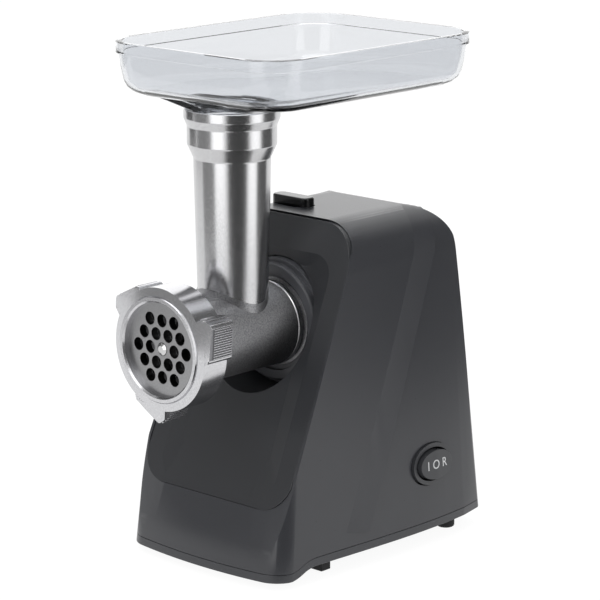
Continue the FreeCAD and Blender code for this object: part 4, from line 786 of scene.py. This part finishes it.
# the pieces inside keep their solids and take a finish each
insideFinish = {
    "bright": ["auger", "knife", "base_screws", "gearbox_screws", "motor_bolts", "rotor_shaft", "first_axle",
               "second_axle", "output_shaft", "brush_springs", "output_gear", "motor_pinion"],
    "casting": ["motor_front_bridge", "motor_rear_bridge"],
    "whiteNylon": ["auger_washer", "first_gear", "second_gear", "latch", "cooling_fan"],
    "greyNylon": ["gearbox_cover", "gearbox_housing"],
    "bronze": ["front_bush", "rear_bush", "front_bearing", "rear_bearing", "commutator", "switch_terminals"],
    "copper": ["field_coils", "armature_winding"],
    "iron": ["stator_core", "armature_core"],
    "carbon": ["carbon_brushes"],
    "glossAbs": ["brush_holders"],
    "rubber": ["cord_gland"],
}
for key, members in insideFinish.items():
    for node in members:
        nodes[node].data.materials.clear()
        nodes[node].data.materials.append(finish[key])
print("inner pieces dressed")

# studio
studio = {
    "floorSize": 6.0,
    "floorGlow": 0.93,
    "floorShade": 0.12,
    "fill": 0.8,
    "aim": (0, 0, 0.2),
    "cardReach": 0.6,
    "cardHeight": 0.9,
    "cameraPlace": (1.0785, -1.15685, 0.5307),
    "cameraRight": (0.73456, 0.67854, 0.0),
    "cameraUp": (-0.15783, 0.17086, 0.97257),
    "cameraBack": (0.65993, -0.71441, 0.2326),
    "focalPixels": 2690.66,
    "photoPixels": 600,
    "sensor": 36.0,
}


def makeCamera():
    data = bpy.data.cameras.new("photoCamera")
    data.sensor_width = studio["sensor"]
    data.lens = studio["focalPixels"] / studio["photoPixels"] * studio["sensor"]
    camera = bpy.data.objects.new("photoCamera", data)
    turn = Matrix((studio["cameraRight"], studio["cameraUp"], studio["cameraBack"])).transposed().to_4x4()
    camera.matrix_world = Matrix.Translation(studio["cameraPlace"]) @ turn
    scene.collection.objects.link(camera)
    scene.camera = camera


def around(azimuth, reach, height):
    angle = math.radians(azimuth)
    return Vector((reach * math.sin(angle), -reach * math.cos(angle), height))


def softbox(name, place, width, height, watts):
    data = bpy.data.lights.new(name, "AREA")
    data.shape = "RECTANGLE"
    data.size = width
    data.size_y = height
    data.energy = watts
    lamp = bpy.data.objects.new(name, data)
    aim = (Vector(studio["aim"]) - Vector(place)).to_track_quat("-Z", "Y")
    lamp.matrix_world = Matrix.Translation(place) @ aim.to_matrix().to_4x4()
    lamp.visible_camera = False
    scene.collection.objects.link(lamp)


def card(name, turn, width, height, grey):
    # a card beside the table that only shows as a reflection
    bm = bmesh.new()
    bmesh.ops.create_grid(bm, x_segments=1, y_segments=1, size=0.5,
                          matrix=turn @ Matrix.Diagonal((width, height, 1, 1)))
    mesh = bpy.data.meshes.new(name)
    bm.to_mesh(mesh)
    bm.free()
    board = bpy.data.objects.new(name, mesh)
    scene.collection.objects.link(board)
    paint, tree, place = startMaterial(name)
    endMaterial(tree, addNode(tree, "ShaderNodeEmission", {"Color": (grey, grey, grey, 1), "Strength": 1.0}))
    mesh.materials.append(paint)
    board.visible_camera = False
    board.visible_diffuse = False
    board.visible_transmission = False
    board.visible_shadow = False


def standingCard(name, azimuth, width, foot, grey):
    height = studio["cardHeight"] - foot
    spin = Matrix.Rotation(math.radians(azimuth), 4, "Z") @ Matrix.Rotation(math.radians(90), 4, "X")
    place = around(azimuth, studio["cardReach"], foot + height / 2)
    card(name, Matrix.Translation(place) @ spin, width, height, grey)


def lyingCard(name, azimuth, reach, width, depth, grey):
    place = around(azimuth, reach, 2 * mm)
    card(name, Matrix.Translation(place) @ Matrix.Rotation(math.radians(azimuth), 4, "Z"), width, depth, grey)


def seenDirectly(tree):
    # what the camera, metal and glass see of the floor and the backdrop
    seen = addNode(tree, "ShaderNodeLightPath")
    mirrored = addNode(tree, "ShaderNodeMath", {"operation": "MAXIMUM"},
                       {0: seen.outputs["Is Glossy Ray"], 1: seen.outputs["Is Transmission Ray"]})
    shown = addNode(tree, "ShaderNodeMath", {"operation": "MAXIMUM"},
                    {0: seen.outputs["Is Camera Ray"], 1: mirrored.outputs[0]})
    return shown.outputs[0]


def makeStudio():
    bm = bmesh.new()
    bmesh.ops.create_grid(bm, x_segments=1, y_segments=1, size=studio["floorSize"] / 2)
    mesh = bpy.data.meshes.new("floor")
    bm.to_mesh(mesh)
    bm.free()
    floor = bpy.data.objects.new("floor", mesh)
    scene.collection.objects.link(floor)
    paper, tree, place = startMaterial("whitePaper")
    shown = seenDirectly(tree)
    sheet = addNode(tree, "ShaderNodeBsdfDiffuse", {"Color": hexColour("#f2f2f2")})
    faint = addNode(tree, "ShaderNodeBsdfDiffuse", {"Color": (*[studio["floorShade"]] * 3, 1)})
    lit = addNode(tree, "ShaderNodeEmission", {"Color": (1, 1, 1, 1), "Strength": studio["floorGlow"]})
    both = addNode(tree, "ShaderNodeAddShader")
    tree.links.new(faint.outputs[0], both.inputs[0])
    tree.links.new(lit.outputs[0], both.inputs[1])
    mix = addNode(tree, "ShaderNodeMixShader", links={"Fac": shown})
    tree.links.new(sheet.outputs[0], mix.inputs[1])
    tree.links.new(both.outputs[0], mix.inputs[2])
    endMaterial(tree, mix)
    mesh.materials.append(paper)

    world = bpy.data.worlds.new("studio")
    scene.world = world
    world.use_nodes = True
    tree = world.node_tree
    tree.nodes.clear()
    shown = seenDirectly(tree)
    backdrop = addNode(tree, "ShaderNodeBackground", {"Color": (1, 1, 1, 1), "Strength": 1.0})
    fill = addNode(tree, "ShaderNodeBackground", {"Color": (1, 1, 1, 1), "Strength": studio["fill"]})
    mix = addNode(tree, "ShaderNodeMixShader", links={"Fac": shown})
    tree.links.new(fill.outputs[0], mix.inputs[1])
    tree.links.new(backdrop.outputs[0], mix.inputs[2])
    addNode(tree, "ShaderNodeOutputWorld", links={"Surface": mix.outputs[0]})

    softbox("frontBox", around(8, 0.62, 0.42), 0.37, 0.8, 0.9)
    softbox("sideBox", around(102, 0.62, 0.34), 0.31, 0.64, 0.5)
    softbox("topBox", (-0.2, 0.1, 1.4), 1.0, 1.0, 6)
    standingCard("darkFront", 56, 0.6, 0.0, 0.08)
    standingCard("greyLeft", -30, 0.44, 0.035, 0.33)
    standingCard("darkLeft", -70, 0.34, 0.14, 0.1)
    standingCard("darkRight", 142, 0.5, 0.0, 0.13)
    standingCard("backCard", -137, 0.9, 0.2, 1.5)
    lyingCard("darkFloor", 56, 0.36, 0.3, 0.44, 0.06)


makeCamera()
makeStudio()
scene.view_settings.view_transform = "Standard"
print("studio set")
